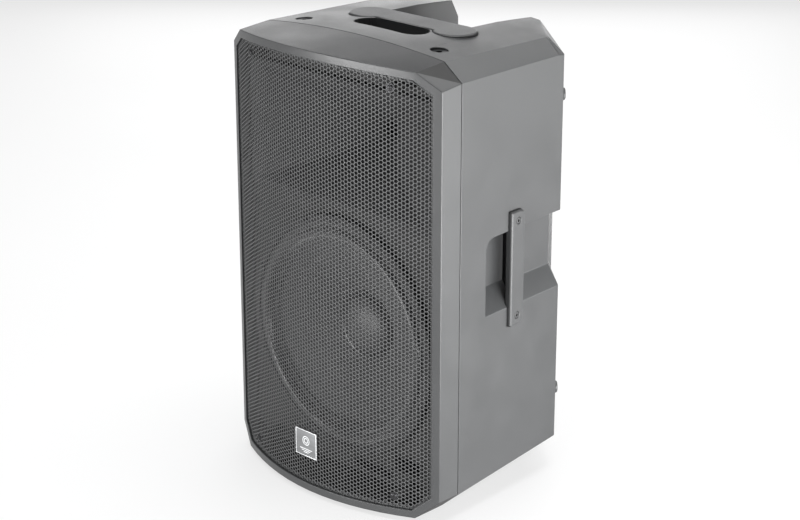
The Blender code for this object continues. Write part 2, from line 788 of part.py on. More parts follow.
def make_cone():
    radii = [CONE_RADIUS, 0.115, 0.075, 0.0387]
    front = [(r, cone_y(r)) for r in radii]
    back = [(r, y + 0.0016) for r, y in reversed(front)]
    return turned("woofer_cone", front + back, PAPER, AXIS, steps=36)


def make_dust_cap():
    rim, rise = 0.049, 0.020
    edge_y = cone_y(rim) - GAP - 0.0004
    turns = [math.radians(a) for a in range(0, 91, 18)]
    outer = [(rim * math.cos(t), edge_y - 0.0010 - rise * math.sin(t)) for t in turns]
    outer[-1] = (0, outer[-1][1])
    inner = [(max(r - 0.001, 0), y + 0.0010) for r, y in outer]
    inner[-1] = (0, outer[-1][1] + 0.0010)
    profile = [inner[-1]] + list(reversed(inner[:-1])) + outer
    return turned("woofer_dust_cap", profile, PAPER, AXIS, steps=24)


def make_voice_coil():
    low, high = CONE_APEX_Y, 0.088
    profile = [(0.0365, low), (COIL_RADIUS, low), (COIL_RADIUS, high), (0.0365, high)]
    return turned("woofer_voice_coil", profile, COPPER, AXIS, steps=28)


def make_spider():
    """The corrugated disc that centres the coil."""
    inner, outer, waves = 0.0387, 0.0755, 3
    steps = 12
    face = []
    for k in range(steps + 1):
        part = k / steps
        r = inner + (outer - inner) * part
        ripple = 0.0013 * math.sin(part * waves * 2 * math.pi)
        face.append((r, 0.0545 + 0.0095 * part + ripple))
    back = [(r, y + 0.0009) for r, y in reversed(face)]
    return turned("woofer_spider", face + back, SPIDER, AXIS, steps=24)


def make_motor():
    top = [(0.0395, PLATE_FRONT), (0.075, PLATE_FRONT), (0.075, 0.0783), (0.0395, 0.0783)]
    turned("woofer_top_plate", top, STEEL, AXIS, steps=32)
    magnet = [(0.046, 0.0786), (0.090, 0.0786), (0.090, 0.1016), (0.046, 0.1016)]
    turned("woofer_magnet", magnet, FERRITE, AXIS, steps=32)
    plate = [(0, 0.0710), (0.0356, 0.0710), (0.0356, 0.1019), (0.077, 0.1019), (0.077, 0.111), (0, 0.111)]
    turned("woofer_back_plate", plate, STEEL, AXIS, steps=32)


# ---------------------------------------------------------------- horn and its driver
def horn_ring(y, half_wide, half_high, corner):
    """A rounded rectangle across the horn's axis."""
    ring = []
    for x, z, start in ((1, 1, 0), (-1, 1, 90), (-1, -1, 180), (1, -1, 270)):
        centre = (x * (half_wide - corner), z * (half_high - corner))
        ring += [(px, y, HORN_Z + pz) for px, pz in arc(centre, corner, start, start + 90, 3)]
    return ring


def make_horn():
    stations = ((-0.0285, 0.178, 0.089, 0.006), (-0.010, 0.142, 0.077, 0.008), (0.020, 0.096, 0.059, 0.010))
    stations += ((0.052, 0.050, 0.036, 0.011), (HORN_THROAT_Y, 0.0130, 0.0130, 0.0125))
    inner = [horn_ring(*row) for row in stations]
    skin = 0.0028
    outer = []
    for y, wide, high, corner in reversed(stations[1:]):
        outer.append(horn_ring(y, wide + skin, high + skin, corner + 0.002))
    outer[0] = [(x, HORN_THROAT_Y, z) for x, _, z in outer[0]]
    flange_back = BAFFLE_FRONT - GAP
    outer.append(horn_ring(flange_back, 0.1765, 0.0885, 0.006))
    outer.append(horn_ring(flange_back, 0.188, 0.0985, 0.006))
    outer.append(horn_ring(-0.0275, 0.188, 0.0985, 0.006))
    return loft("horn", inner + outer, HORN, 40, closed=True)


def make_compression_driver():
    spot = (0, 0, HORN_Z)
    start = HORN_THROAT_Y + GAP
    body = [(0.0130, start), (0.030, start), (0.030, start + 0.008), (0.050, start + 0.010)]
    body += [(0.050, start + 0.040), (0.0130, start + 0.040)]
    turned("compression_driver", body, FERRITE, spot, steps=28)
    base, shoulder, top = start + 0.0403, start + 0.056, start + 0.062
    cap = [(0, base), (0.043, base), (0.043, shoulder), (0.038, top), (0, top)]
    turned("compression_driver_cap", cap, BLACK_PLASTIC, spot, steps=28)


# ---------------------------------------------------------------- port
def port_outline(grow):
    """The two joined ducts in the lower right corner of the baffle."""
    low, step, high = 0.0195 - grow, 0.040, 0.071 + grow
    left, inner, outer, right = 0.017 - grow, 0.103 - grow, 0.110 + grow, 0.162 + grow
    path = [(left, low), (outer, low), (outer, step - grow), (right, step - grow)]
    return path + [(right, high), (inner, high), (inner, step + grow), (left, step + grow)]


def make_port():
    duct = prism("port_duct", port_outline(0), BAFFLE_FRONT - 0.0005, 0.058, "Y", HORN)
    ways = (((0.0205, 0.0230), (0.0995, 0.0365)), ((0.1065, 0.0435), (0.1585, 0.0675)))
    for k, ((x0, z0), (x1, z1)) in enumerate(ways):
        boolean(duct, helper(box(f"port_way_{k}", (x0, -0.1, z0), (x1, 0.2, z1))))
    return duct


# ---------------------------------------------------------------- feet and pole socket
def foot(name, radius, height, spot, direction):
    profile = [(0, height), (radius * 0.82, height), (radius * 0.95, height * 0.6), (radius, 0), (0, 0)]
    return place(turned(name, profile, RUBBER, axis="Z", steps=16), spot, direction)


def make_feet():
    for label, side in (("left", -1), ("right", 1)):
        foot("foot_front_" + label, 0.014, FEET_HEIGHT - GAP, (side * 0.140, 0.026, -GAP), (0, 0, -1))
        foot("foot_rear_" + label, 0.014, FEET_HEIGHT - GAP, (side * 0.120, 0.222, -GAP), (0, 0, -1))
        start = Vector((side_x(SIDE_END), SIDE_END, 0))
        along = (Vector((REAR_HALF_WIDTH, REAR, 0)) - start).normalized()
        out = Vector((along.y, -along.x, 0))
        for spot_label, run in (("outer", 0.015), ("inner", 0.106)):
            for level, z in (("lower", 0.1205), ("upper", 0.5885)):
                spot = start + along * run + out * GAP + Vector((0, 0, z))
                spot.x *= side
                direction = (side * out.x, out.y, 0)
                foot(f"side_foot_{label}_{spot_label}_{level}", 0.010, 0.0045, spot, direction)


def make_pole_socket():
    profile = [(0, 0.080), (POLE_BORE, 0.080), (POLE_BORE, -0.0033), (0.042, -0.0033), (0.044, -0.0018)]
    profile += [(0.044, -GAP), (POLE_BORE + 0.0035, -GAP), (POLE_BORE + 0.0035, 0.084), (0, 0.084)]
    return turned("pole_socket", profile, BLACK_STEEL, (0, POLE_Y, 0), "Z", steps=24)


# ---------------------------------------------------------------- amplifier module
KNOBS = {"input_1_knob": -0.066, "input_2_knob": -0.032, "master_knob": 0.002}
KNOB_Z = 0.452
SOCKETS = {
    "combo_socket_1": (-0.060, 0.0098),
    "combo_socket_2": (-0.018, 0.0098),
    "link_socket": (0.024, 0.0086),
}
SOCKET_Z = 0.400
BUTTON_SPOT = (0.038, KNOB_Z)
ROCKER_SPOT = (0.066, 0.346)
INLET_SPOT = (0.014, 0.346)
ROCKER_HALF = (0.0058, 0.0098)
BOARD_Y = 0.262


def make_amp_panel():
    low = (-PANEL_HALF_WIDTH, PANEL_BACK, PANEL_LOW)
    panel = box("amp_panel", low, (PANEL_HALF_WIDTH, PANEL_FACE, PANEL_HIGH), ALUMINIUM)
    for k, (x, z) in enumerate(((-0.068, 0.180), (0.068, 0.180), (-0.072, 0.470), (0.072, 0.470))):
        post = rod(f"standoff_{k}", 0.0035, (x, BOARD_Y + 0.0019, z), (x, PANEL_BACK + 0.001, z), steps=12)
        boolean(panel, helper(post), "UNION")
    cuts = []
    for name, x in (*KNOBS.items(), ("button", BUTTON_SPOT[0])):
        cuts.append(rod("way_" + name, 0.0036, (x, 0.29, KNOB_Z), (x, 0.32, KNOB_Z), steps=16))
    for name, (x, _) in SOCKETS.items():
        cuts.append(rod("way_" + name, 0.0125, (x, 0.29, SOCKET_Z), (x, 0.32, SOCKET_Z), steps=24))
    openings = (("rocker", ROCKER_SPOT, 0.0085, 0.0125), ("inlet", INLET_SPOT, 0.0145, 0.0105))
    for name, (x, z), wide, high in openings:
        cuts.append(box("way_" + name, (x - wide, 0.29, z - high), (x + wide, 0.32, z + high)))
    for cut in cuts:
        boolean(panel, helper(cut))
    return panel


def make_heatsink():
    """A finned block on the lower half of the panel, its fins upright."""
    half, base, tip = 0.078, PANEL_FACE + GAP, PANEL_FACE + 0.0165
    root, fins, fin = base + 0.004, 12, 0.0022
    outline = [(-half, base)]
    pitch = (2 * half - fin) / (fins - 1)
    for k in range(fins):
        left = -half + k * pitch
        outline += [(left, root)] if k else []
        outline += [(left, tip), (left + fin, tip)]
        outline += [(left + fin, root)] if k < fins - 1 else []
    outline.append((half, base))
    return prism("heatsink", outline, 0.160, 0.305, "Z", ALUMINIUM)


def make_knobs():
    for name, x in KNOBS.items():
        front = PANEL_FACE + 0.0008
        profile = [(0, front + 0.0125), (0.0062, front + 0.0125), (0.0070, front + 0.0115), (0.0082, front)]
        profile += [(0.0030, front), (0.0030, 0.288), (0, 0.288)]
        knob = turned(name, profile, BLACK_PLASTIC, (0, 0, 0), steps=16)
        pointer = box("pointer_" + name, (-0.0006, front + 0.0119, 0.0015), (0.0006, front + 0.02, 0.0072))
        knob.location = (x, 0, KNOB_Z)
        pointer.location = knob.location
        boolean(knob, helper(pointer))


def make_button():
    x, z = BUTTON_SPOT
    profile = [(0, PANEL_FACE + 0.005), (0.0028, PANEL_FACE + 0.005), (0.0033, PANEL_FACE + 0.0045)]
    profile += [(0.0033, 0.288), (0, 0.288)]
    button = turned("mic_line_button", profile, BLACK_PLASTIC, (0, 0, 0), steps=16)
    button.location = (x, 0, z)


def make_sockets():
    for name, (x, bore) in SOCKETS.items():
        low, back = PANEL_FACE + GAP, 0.274
        corners = (x - 0.013, low, SOCKET_Z - 0.0155), (x + 0.013, low + 0.0022, SOCKET_Z + 0.0155)
        flange = box(name, *corners, BLACK_PLASTIC)
        body = rod("body_" + name, 0.0122, (x, back, SOCKET_Z), (x, low + 0.001, SOCKET_Z))
        well = rod("well_" + name, bore, (x, back + 0.006, SOCKET_Z), (x, low + 0.02, SOCKET_Z))
        boolean(flange, helper(body), "UNION")
        boolean(flange, helper(well))


def make_power_switch():
    x, z = ROCKER_SPOT
    low = PANEL_FACE + GAP
    corners = (x - 0.0100, low, z - 0.0140), (x + 0.0100, low + 0.0018, z + 0.0140)
    frame = box("power_switch_frame", *corners, BLACK_PLASTIC)
    body = box("switch_body", (x - 0.0082, 0.280, z - 0.0122), (x + 0.0082, low + 0.001, z + 0.0122))
    wide, high = ROCKER_HALF[0] + 0.0005, ROCKER_HALF[1] + 0.0006
    well = box("switch_well", (x - wide, 0.2915, z - high), (x + wide, 0.33, z + high))
    boolean(frame, helper(body), "UNION")
    boolean(frame, helper(well))
    tilt = math.radians(7)
    half, front = ROCKER_HALF[1], PANEL_FACE + 0.0028
    lift = math.tan(tilt) * half
    outline = [(-half, front - 0.002), (-0.006, front - 0.0105), (0, front - 0.0125), (0.006, front - 0.0105)]
    outline += [(half, front - 0.002), (half, front - lift * 0.5)]
    outline += [(0, front - lift), (-half, front + lift * 1.5)]
    rings = [[(side * ROCKER_HALF[0], y - front, level) for level, y in outline] for side in (-1, 1)]
    rocker = loft("power_rocker", rings, BLACK_PLASTIC)
    rocker.location = (x, front, z)


def make_inlet():
    x, z = INLET_SPOT
    low = PANEL_FACE + GAP
    corners = (x - 0.0250, low, z - 0.0135), (x + 0.0250, low + 0.0022, z + 0.0135)
    flange = box("mains_inlet", *corners, BLACK_PLASTIC)
    body = box("inlet_body", (x - 0.0142, 0.276, z - 0.0102), (x + 0.0142, low + 0.001, z + 0.0102))
    well = box("inlet_well", (x - 0.0120, 0.289, z - 0.0080), (x + 0.0120, 0.33, z + 0.0080))
    boolean(flange, helper(body), "UNION")
    boolean(flange, helper(well))
    for k, (dx, dz) in enumerate(((-0.007, -0.002), (0, 0.002), (0.007, -0.002))):
        corners = (x + dx - 0.001, 0.285, z + dz - 0.002), (x + dx + 0.001, 0.2985, z + dz + 0.002)
        blade = box(f"inlet_blade_{k}", *corners)
        boolean(flange, helper(blade), "UNION")


def make_amp_inside():
    box("amp_board", (-0.078, BOARD_Y, 0.168), (0.078, BOARD_Y + 0.0016, 0.474), BOARD)
    core = (-0.060, 0.205, 0.190), (0.010, BOARD_Y - GAP, 0.262)
    bevel(box("transformer", *core, STEEL), 0.003, 1)


# ---------------------------------------------------------------- build
make_front_shell()
make_rear_shell()
make_top_grip()
make_side_handles()
make_rigging_inserts()
make_grille()
make_badge()
make_woofer_frame()
make_surround()
make_cone()
make_dust_cap()
make_voice_coil()
make_spider()
make_motor()
make_horn()
make_compression_driver()
make_port()
make_feet()
make_pole_socket()
make_amp_panel()
make_heatsink()
make_knobs()
make_button()
make_sockets()
make_power_switch()
make_inlet()
make_amp_inside()
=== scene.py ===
"""Looks of a two-way PA speaker cabinet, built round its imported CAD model.

Metres, +Z up, in the CAD's frame: the grille faces -Y and the origin is on the floor.
"""

import json
import math

import bmesh
import bpy
import numpy as np
from mathutils import Matrix, Vector


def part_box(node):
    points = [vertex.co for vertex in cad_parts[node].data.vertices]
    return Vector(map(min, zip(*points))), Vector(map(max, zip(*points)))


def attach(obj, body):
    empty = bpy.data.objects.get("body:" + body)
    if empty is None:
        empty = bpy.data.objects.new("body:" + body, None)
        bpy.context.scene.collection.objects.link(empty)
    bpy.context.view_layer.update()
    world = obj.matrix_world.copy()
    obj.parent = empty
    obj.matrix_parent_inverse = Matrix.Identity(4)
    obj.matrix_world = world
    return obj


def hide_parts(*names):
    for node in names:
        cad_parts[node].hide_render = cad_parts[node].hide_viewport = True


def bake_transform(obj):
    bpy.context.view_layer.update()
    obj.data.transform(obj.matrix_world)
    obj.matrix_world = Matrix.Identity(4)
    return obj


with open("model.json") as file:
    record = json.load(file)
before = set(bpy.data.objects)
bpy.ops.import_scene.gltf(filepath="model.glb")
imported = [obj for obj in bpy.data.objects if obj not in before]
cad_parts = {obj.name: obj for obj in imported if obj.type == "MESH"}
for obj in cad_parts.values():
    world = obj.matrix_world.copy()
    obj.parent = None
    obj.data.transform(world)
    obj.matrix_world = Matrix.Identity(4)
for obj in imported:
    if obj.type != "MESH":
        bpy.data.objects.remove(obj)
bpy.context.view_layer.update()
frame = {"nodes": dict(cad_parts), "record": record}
nodes = frame["nodes"]
BODY_OF = {node: body for body, members in frame["record"]["behaviour"]["bodies"].items() for node in members}

# ---------------------------------------------------------------- places read from the frame
rear_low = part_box("rear_shell")[0]
front_low, front_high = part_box("front_shell")
ring_low, ring_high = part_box("woofer_frame")
horn_low, horn_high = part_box("horn")
grille_low, grille_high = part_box("grille")

HALF_WIDTH = front_high.x
SEAM_Y = front_high.y
BASE_Z = rear_low.z
BULGE = 0.060  # how far the grille's middle stands ahead of its sides
SIDE_DRAFT = 0.045  # how far the sides close in for each metre towards the rear
LIP_SIDE = SEAM_Y - front_low.y - BULGE  # how far the lip's ends stand ahead of the seam


# ---------------------------------------------------------------- materials
NOISE_LOW, NOISE_HIGH = 0.3, 0.7  # nearly all of a noise texture's values lie between these
GRAIN_DETAIL, PATCH_DETAIL = 3, 4
GRAIN_SHARE = 0.8  # the grain's spread of colour, as a part of the patches'
ROUGHNESS_SPREAD = 0.05
# Paler edges from Pointiness: partly wear, partly a painted highlight along the edges.
WEAR_AND_HIGHLIGHT_START, WEAR_AND_HIGHLIGHT_FULL = 0.52, 0.62  # Pointiness, which is 0.5 on a flat face
WEAR_AND_HIGHLIGHT_GAIN, WEAR_AND_HIGHLIGHT_LIFT = 2.2, 0.05


def textured(
    name,
    colour,
    roughness,
    metallic=0.0,
    grain=1500,
    depth=0.00006,
    spread=0.10,
    patches=14,
    wear_and_highlight=0.0,
    coat=0.0,
    sheen=0.0,
    stretch=(1, 1, 1),
):
    """A procedural finish: fine grain in the bump, soft patches in colour and roughness, and paler edges,
    partly wear and partly a painted highlight.
    """
    made = bpy.data.materials.new(name)
    made.use_nodes = True
    tree = made.node_tree
    shader = tree.nodes["Principled BSDF"]
    shader.inputs["Metallic"].default_value = metallic
    shader.inputs["Coat Weight"].default_value = coat
    shader.inputs["Sheen Weight"].default_value = sheen

    place = tree.nodes.new("ShaderNodeTexCoord")
    scaled = tree.nodes.new("ShaderNodeMapping")
    scaled.inputs["Scale"].default_value = stretch
    tree.links.new(place.outputs["Object"], scaled.inputs["Vector"])

    def noise(scale, detail):
        node = tree.nodes.new("ShaderNodeTexNoise")
        node.inputs["Scale"].default_value = scale
        node.inputs["Detail"].default_value = detail
        tree.links.new(scaled.outputs["Vector"], node.inputs["Vector"])
        return node.outputs["Fac"]

    def spread_out(value, low, high):
        node = tree.nodes.new("ShaderNodeMapRange")
        node.inputs["From Min"].default_value = NOISE_LOW
        node.inputs["From Max"].default_value = NOISE_HIGH
        node.inputs["To Min"].default_value = low
        node.inputs["To Max"].default_value = high
        tree.links.new(value, node.inputs["Value"])
        return node.outputs["Result"]

    fine, broad = noise(grain, GRAIN_DETAIL), noise(patches, PATCH_DETAIL)
    bump = tree.nodes.new("ShaderNodeBump")
    bump.inputs["Strength"].default_value = 1.0
    bump.inputs["Distance"].default_value = depth
    tree.links.new(fine, bump.inputs["Height"])
    tree.links.new(bump.outputs["Normal"], shader.inputs["Normal"])

    speckle = tree.nodes.new("ShaderNodeMath")
    speckle.operation = "MULTIPLY"
    tree.links.new(spread_out(broad, 1 - spread, 1 + spread), speckle.inputs[0])
    fine_spread = spread * GRAIN_SHARE
    tree.links.new(spread_out(fine, 1 - fine_spread, 1 + fine_spread), speckle.inputs[1])
    tint = tree.nodes.new("ShaderNodeVectorMath")
    tint.operation = "SCALE"
    tint.inputs[0].default_value = colour
    tree.links.new(speckle.outputs["Value"], tint.inputs["Scale"])
    finished = tint.outputs["Vector"]
    # paler edges: partly wear, partly a painted highlight where light would catch the edges
    if wear_and_highlight:
        geometry = tree.nodes.new("ShaderNodeNewGeometry")
        edges = tree.nodes.new("ShaderNodeMapRange")
        edges.inputs["From Min"].default_value = WEAR_AND_HIGHLIGHT_START
        edges.inputs["From Max"].default_value = WEAR_AND_HIGHLIGHT_FULL
        edges.inputs["To Max"].default_value = wear_and_highlight
        tree.links.new(geometry.outputs["Pointiness"], edges.inputs["Value"])
        mixed = tree.nodes.new("ShaderNodeMix")
        mixed.data_type = "RGBA"
        mixed.inputs["B"].default_value = (*(min(1, c * WEAR_AND_HIGHLIGHT_GAIN + WEAR_AND_HIGHLIGHT_LIFT) for c in colour), 1)
        tree.links.new(edges.outputs["Result"], mixed.inputs["Factor"])
        tree.links.new(finished, mixed.inputs["A"])
        finished = mixed.outputs["Result"]
    tree.links.new(finished, shader.inputs["Base Color"])
    uneven = spread_out(broad, roughness - ROUGHNESS_SPREAD, roughness + ROUGHNESS_SPREAD)
    tree.links.new(uneven, shader.inputs["Roughness"])
    return made


# the shell's and grip's paler edges are partly wear and partly a painted highlight
SHELL = textured(
    "moulded_shell", (0.036, 0.037, 0.038), 0.38, grain=1100, depth=0.00012, spread=0.035, wear_and_highlight=0.25
)
GRIP = textured("soft_grip", (0.034, 0.035, 0.036), 0.42, grain=700, depth=0.00022, spread=0.06, wear_and_highlight=0.2)
MESH = textured("grille_powder_coat", (0.056, 0.057, 0.058), 0.45, grain=2600, depth=0.00004, spread=0.06)
RUBBER = textured("rubber", (0.022, 0.022, 0.023), 0.78, grain=500, depth=0.0001, spread=0.15)
GREY_RUBBER = textured("grey_rubber", (0.040, 0.041, 0.042), 0.50, grain=500, depth=0.0001, spread=0.1)
SCREW_GREY = textured("screw_grey", (0.040, 0.041, 0.042), 0.34, grain=900, depth=0.00003)
SCREW_BLACK = textured("screw_black", (0.035, 0.035, 0.037), 0.35, 0.7, grain=900, depth=0.00003)
ZINC = textured("zinc_plate", (0.46, 0.47, 0.47), 0.32, 1.0, grain=700, depth=0.00002, spread=0.12)
BLACK_STEEL = textured(
    "black_steel", (0.028, 0.029, 0.030), 0.42, 0.5, grain=1200, depth=0.00004, spread=0.12
)
PLATE = textured(
    "badge_plate", (0.20, 0.204, 0.208), 0.36, 0.55, grain=1500, depth=0.00002, stretch=(1, 1, 8)
)
PLATE_MARK = textured("badge_mark", (0.78, 0.79, 0.80), 0.3, 0.3, grain=1500, depth=0.00002, spread=0.04)
PAPER = textured(
    "cone_paper", (0.022, 0.022, 0.023), 0.66, grain=420, depth=0.00035, spread=0.16, patches=40, sheen=0.3
)
CAP_PAPER = textured(
    "cap_paper", (0.045, 0.045, 0.046), 0.45, grain=520, depth=0.0002, spread=0.12, patches=60
)
CLOTH = textured(
    "surround_cloth", (0.014, 0.014, 0.015), 0.26, grain=1500, depth=0.00015, spread=0.1, sheen=0.4
)
SPIDER = textured("spider_cloth", (0.42, 0.25, 0.09), 0.85, grain=1800, depth=0.0002, spread=0.15, sheen=0.3)
FERRITE = textured("ferrite", (0.05, 0.05, 0.054), 0.6, grain=900, depth=0.00008, spread=0.2)
COPPER = textured(
    "copper_winding", (0.75, 0.36, 0.16), 0.35, 1.0, grain=400, depth=0.0001, stretch=(0.05, 8, 0.05)
)
HORN = textured("horn_plastic", (0.012, 0.012, 0.013), 0.72, grain=1200, depth=0.00006, spread=0.05)
# near black: painted shade on the front shell's faces behind the grille
BAFFLE_PAINTED_SHADE = textured("baffle_painted_shade", (0.008, 0.008, 0.008), 0.62, grain=900, depth=0.0001, spread=0.08)
ANODISED = textured(
    "anodised_black", (0.040, 0.041, 0.043), 0.40, 0.6, grain=1800, depth=0.00002, stretch=(1, 1, 6)
)
BLACK_PLASTIC = textured("black_plastic", (0.020, 0.020, 0.021), 0.38, grain=1500, depth=0.00004, spread=0.1)
WHITE_PRINT = textured("printed_marks", (0.72, 0.72, 0.70), 0.5, grain=2000, depth=0.00001, spread=0.05)
RED_LENS = textured("clip_red", (0.55, 0.02, 0.015), 0.25, grain=2000, depth=0.00001, spread=0.05, coat=0.5)
GREEN_LENS = textured("led_green", (0.05, 0.45, 0.08), 0.2, grain=2000, depth=0.00001, spread=0.05, coat=0.5)
BOARD = textured("circuit_board", (0.015, 0.10, 0.04), 0.4, grain=500, depth=0.00008, spread=0.25, patches=90)
LACQUER = textured(
    "transformer_core", (0.16, 0.15, 0.14), 0.5, 0.7, grain=900, depth=0.0001, stretch=(12, 1, 1)
)
# near black: painted shade in the screws' recesses and sockets
SOCKET_PAINTED_SHADE = textured("socket_painted_shade", (0.008, 0.008, 0.008), 0.9, grain=900, depth=0.00003)


# ---------------------------------------------------------------- mesh helpers
WELD = 1e-7  # made points nearer than this are one
CAD_WELD = 1e-6
FLAT_ANGLE = 0.6  # degrees: CAD triangles that meet at less than this are one face
SHORTEST_EDGE = 0.0001


def piece(name, shape, finish, body="cabinet", smooth=35, replaces=()):
    """Makes a bmesh into a piece that rides on a body, or on none."""
    bmesh.ops.remove_doubles(shape, verts=shape.verts, dist=WELD)
    bmesh.ops.recalc_face_normals(shape, faces=shape.faces)
    mesh = bpy.data.meshes.new(name)
    shape.to_mesh(mesh)
    shape.free()
    return settle(name, mesh, finish, body, smooth, replaces)


def settle(name, mesh, finish, body="cabinet", smooth=35, replaces=()):
    """Makes a mesh into an object that rides on its body, and hides the CAD nodes it replaces."""
    mesh.materials.clear()
    mesh.materials.append(finish)
    mesh.shade_smooth()
    if smooth is not None:
        mesh.set_sharp_from_angle(angle=math.radians(smooth))
    made = bpy.data.objects.new(name, mesh)
    bpy.context.scene.collection.objects.link(made)
    if body:
        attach(made, body)
    if replaces:
        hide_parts(*replaces)
    return made


def softened(node, name, finish, width, segments=3, angle=30):
    """A CAD node's mesh with its flat faces whole again and its edges rounded, in place of the node."""
    shape = bmesh.new()
    shape.from_mesh(nodes[node].data)
    bmesh.ops.remove_doubles(shape, verts=shape.verts, dist=CAD_WELD)
    flat = math.radians(FLAT_ANGLE)
    bmesh.ops.dissolve_limit(shape, angle_limit=flat, verts=shape.verts, edges=shape.edges)
    bmesh.ops.dissolve_degenerate(shape, edges=shape.edges, dist=SHORTEST_EDGE)
    bmesh.ops.recalc_face_normals(shape, faces=shape.faces)
    mesh = bpy.data.meshes.new(name)
    shape.to_mesh(mesh)
    shape.free()
    made = settle(name, mesh, finish, BODY_OF[node], None, (node,))
    step = made.modifiers.new("edge", "BEVEL")
    step.width = width
    step.segments = segments
    step.limit_method = "ANGLE"
    step.angle_limit = math.radians(angle)
    step.use_clamp_overlap = False
    even = made.modifiers.new("even_normals", "WEIGHTED_NORMAL")
    even.mode = "FACE_AREA"
    even.weight = 100  # the large faces alone set the normals, so they stay flat
    return made


def lathe(profile, centre, axis="Y", steps=96, closed=False):
    """A bmesh turned from (radius, place along the axis) points."""
    spin = {
        "Y": lambda r, h, c, s: (r * c, h, r * s),
        "Z": lambda r, h, c, s: (r * c, r * s, h),
    }[axis]
    shape = bmesh.new()
    rings = []
    for r, h in profile:
        if r == 0:
            rings.append([shape.verts.new(Vector(centre) + Vector(spin(0, h, 1, 0)))] * steps)
            continue
        ring = []
        for k in range(steps):
            turn = 2 * math.pi * k / steps
            ring.append(shape.verts.new(Vector(centre) + Vector(spin(r, h, math.cos(turn), math.sin(turn)))))
        rings.append(ring)
    following = rings[1:] + rings[:1] if closed else rings[1:]
    for a, b in zip(rings, following):
        for j in range(steps):
            k = (j + 1) % steps
            corners = []
            for v in (a[j], a[k], b[k], b[j]):
                if v not in corners:
                    corners.append(v)
            if len(corners) > 2:
                shape.faces.new(corners)
    return shape


def turned_to(shape, direction, spot):
    """Moves a bmesh modelled along +Z so that +Z points along direction from spot."""
    turn = Vector(direction).to_track_quat("Z", "Y").to_matrix().to_4x4()
    shape.transform(Matrix.Translation(spot) @ turn)
    return shape


def joined(*shapes):
    """One bmesh from several."""
    whole = bmesh.new()
    for shape in shapes:
        mesh = bpy.data.meshes.new("part")
        shape.to_mesh(mesh)
        whole.from_mesh(mesh)
        bpy.data.meshes.remove(mesh)
        shape.free()
    return whole


def block(low, high, bevel=0.0, segments=2):
    """A box between two corners, with its edges rounded."""
    shape = bmesh.new()
    size = Vector(high) - Vector(low)
    middle = (Vector(high) + Vector(low)) / 2
    bmesh.ops.create_cube(shape, size=1, matrix=Matrix.Translation(middle) @ Matrix.Diagonal((*size, 1)))
    if bevel:
        edges = shape.edges[:]
        bmesh.ops.bevel(shape, geom=edges, offset=bevel, segments=segments, profile=0.5, affect="EDGES")
    return shape


def smoothed(profile, rounds=2):
    """Rounds a polyline's inner corners by cutting them (Chaikin), and keeps its ends."""
    for _ in range(rounds):
        cut = [profile[0]]
        for (a, b), (c, d) in zip(profile, profile[1:]):
            cut += [(0.75 * a + 0.25 * c, 0.75 * b + 0.25 * d), (0.25 * a + 0.75 * c, 0.25 * b + 0.75 * d)]
        profile = cut + [profile[-1]]
    return profile


# ---------------------------------------------------------------- front's curve
def front_y(x):
    """The front lip's place at x: the front bows ahead as a parabola."""
    return SEAM_Y - LIP_SIDE - BULGE * (1 - (x / HALF_WIDTH) ** 2)


def front_normal(x):
    return Vector((2 * BULGE * x / HALF_WIDTH**2, -1, 0)).normalized()


GRILLE_DEPTH = 0.0037  # the sheet's outer face behind the lip


def grille_spot(x, z, out=0.0):
    return Vector((x, front_y(x) + GRILLE_DEPTH, z)) + front_normal(x) * out


# ---------------------------------------------------------------- rounded edges, and shells
SOFT_EDGE = 0.0012
CAST_EDGE = 0.0008
PANEL_EDGE = 0.0005
FINE_EDGE = 0.0004
KNOB_EDGE = 0.0003
SHELL_EDGE = 0.0011
SHELL_ANGLE = 20  # degrees: the shells' shallow facets are rounded too
GRILLE_MARGIN = 0.001
PAINTED_SHADE_BEHIND = 0.003  # faces further than this behind the grille get the darker colour, painted shade


def make_shells():
    """The two moulded halves, with the front one's faces behind the grille painted darker as shade."""
    front = softened(
        "front_shell", "front_shell_moulded", SHELL, SHELL_EDGE, angle=SHELL_ANGLE
    )
    softened("rear_shell", "rear_shell_moulded", SHELL, SHELL_EDGE, angle=SHELL_ANGLE)
    # a second slot of painted shade for the faces behind the grille
    front.data.materials.append(BAFFLE_PAINTED_SHADE)
    low, high = grille_low.z + GRILLE_MARGIN, grille_high.z - GRILLE_MARGIN
    for face in front.data.polygons:
        x, y, z = front.matrix_world @ face.center
        within = abs(x) < grille_high.x - GRILLE_MARGIN and low < z < high
        if within and y > front_y(x) + GRILLE_DEPTH + PAINTED_SHADE_BEHIND:
            face.material_index = 1


# ---------------------------------------------------------------- grille
ROW_PITCH = 0.0062
COLUMN_PITCH = 0.0057
HOLE_PART = 0.78  # a hole's width as a part of its cell's
SHEET = 0.0004
CELL_WELD = 1e-5  # neighbouring cells share their outer corners
CUT_WIDE = 0.0286  # the cut corners, across and along the grille's side
UPPER_CUT_TALL = 0.0196
LOWER_CUT_TALL = 0.0242
CROWN = 0.009  # the top edge's middle above its ends
LOWER_BOW = 0.002  # the lower edge's ends above its middle
EDGE_LINES = 9  # straight lines that stand for a curved edge
SPARE_WIDTH = 0.02  # flat sheet outside the outline, cut off again
BEND_STEPS = 400


def grille_edges():
    """The lines that bound the grille: a point and an outward direction in x and z."""
    half, low, high = grille_high.x, grille_low.z, grille_high.z
    inner = half - CUT_WIDE
    flat_top = high - CROWN
    side_top = flat_top - UPPER_CUT_TALL
    edges = [((half, 0), (1, 0)), ((-half, 0), (-1, 0))]
    for side in (1, -1):
        edges.append(((side * half, side_top), (side * (flat_top - side_top), CUT_WIDE)))
        edges.append(((side * half, low + LOWER_BOW + LOWER_CUT_TALL), (side * LOWER_CUT_TALL, -CUT_WIDE)))
    for k in range(EDGE_LINES):
        x = inner * (2 * (k + 0.5) / EDGE_LINES - 1)
        edges.append(((x, high - CROWN * (x / inner) ** 2), (2 * CROWN * x / inner**2, 1)))
        edges.append(((x, low + LOWER_BOW * (x / inner) ** 2), (2 * LOWER_BOW * x / inner**2, -1)))
    return edges


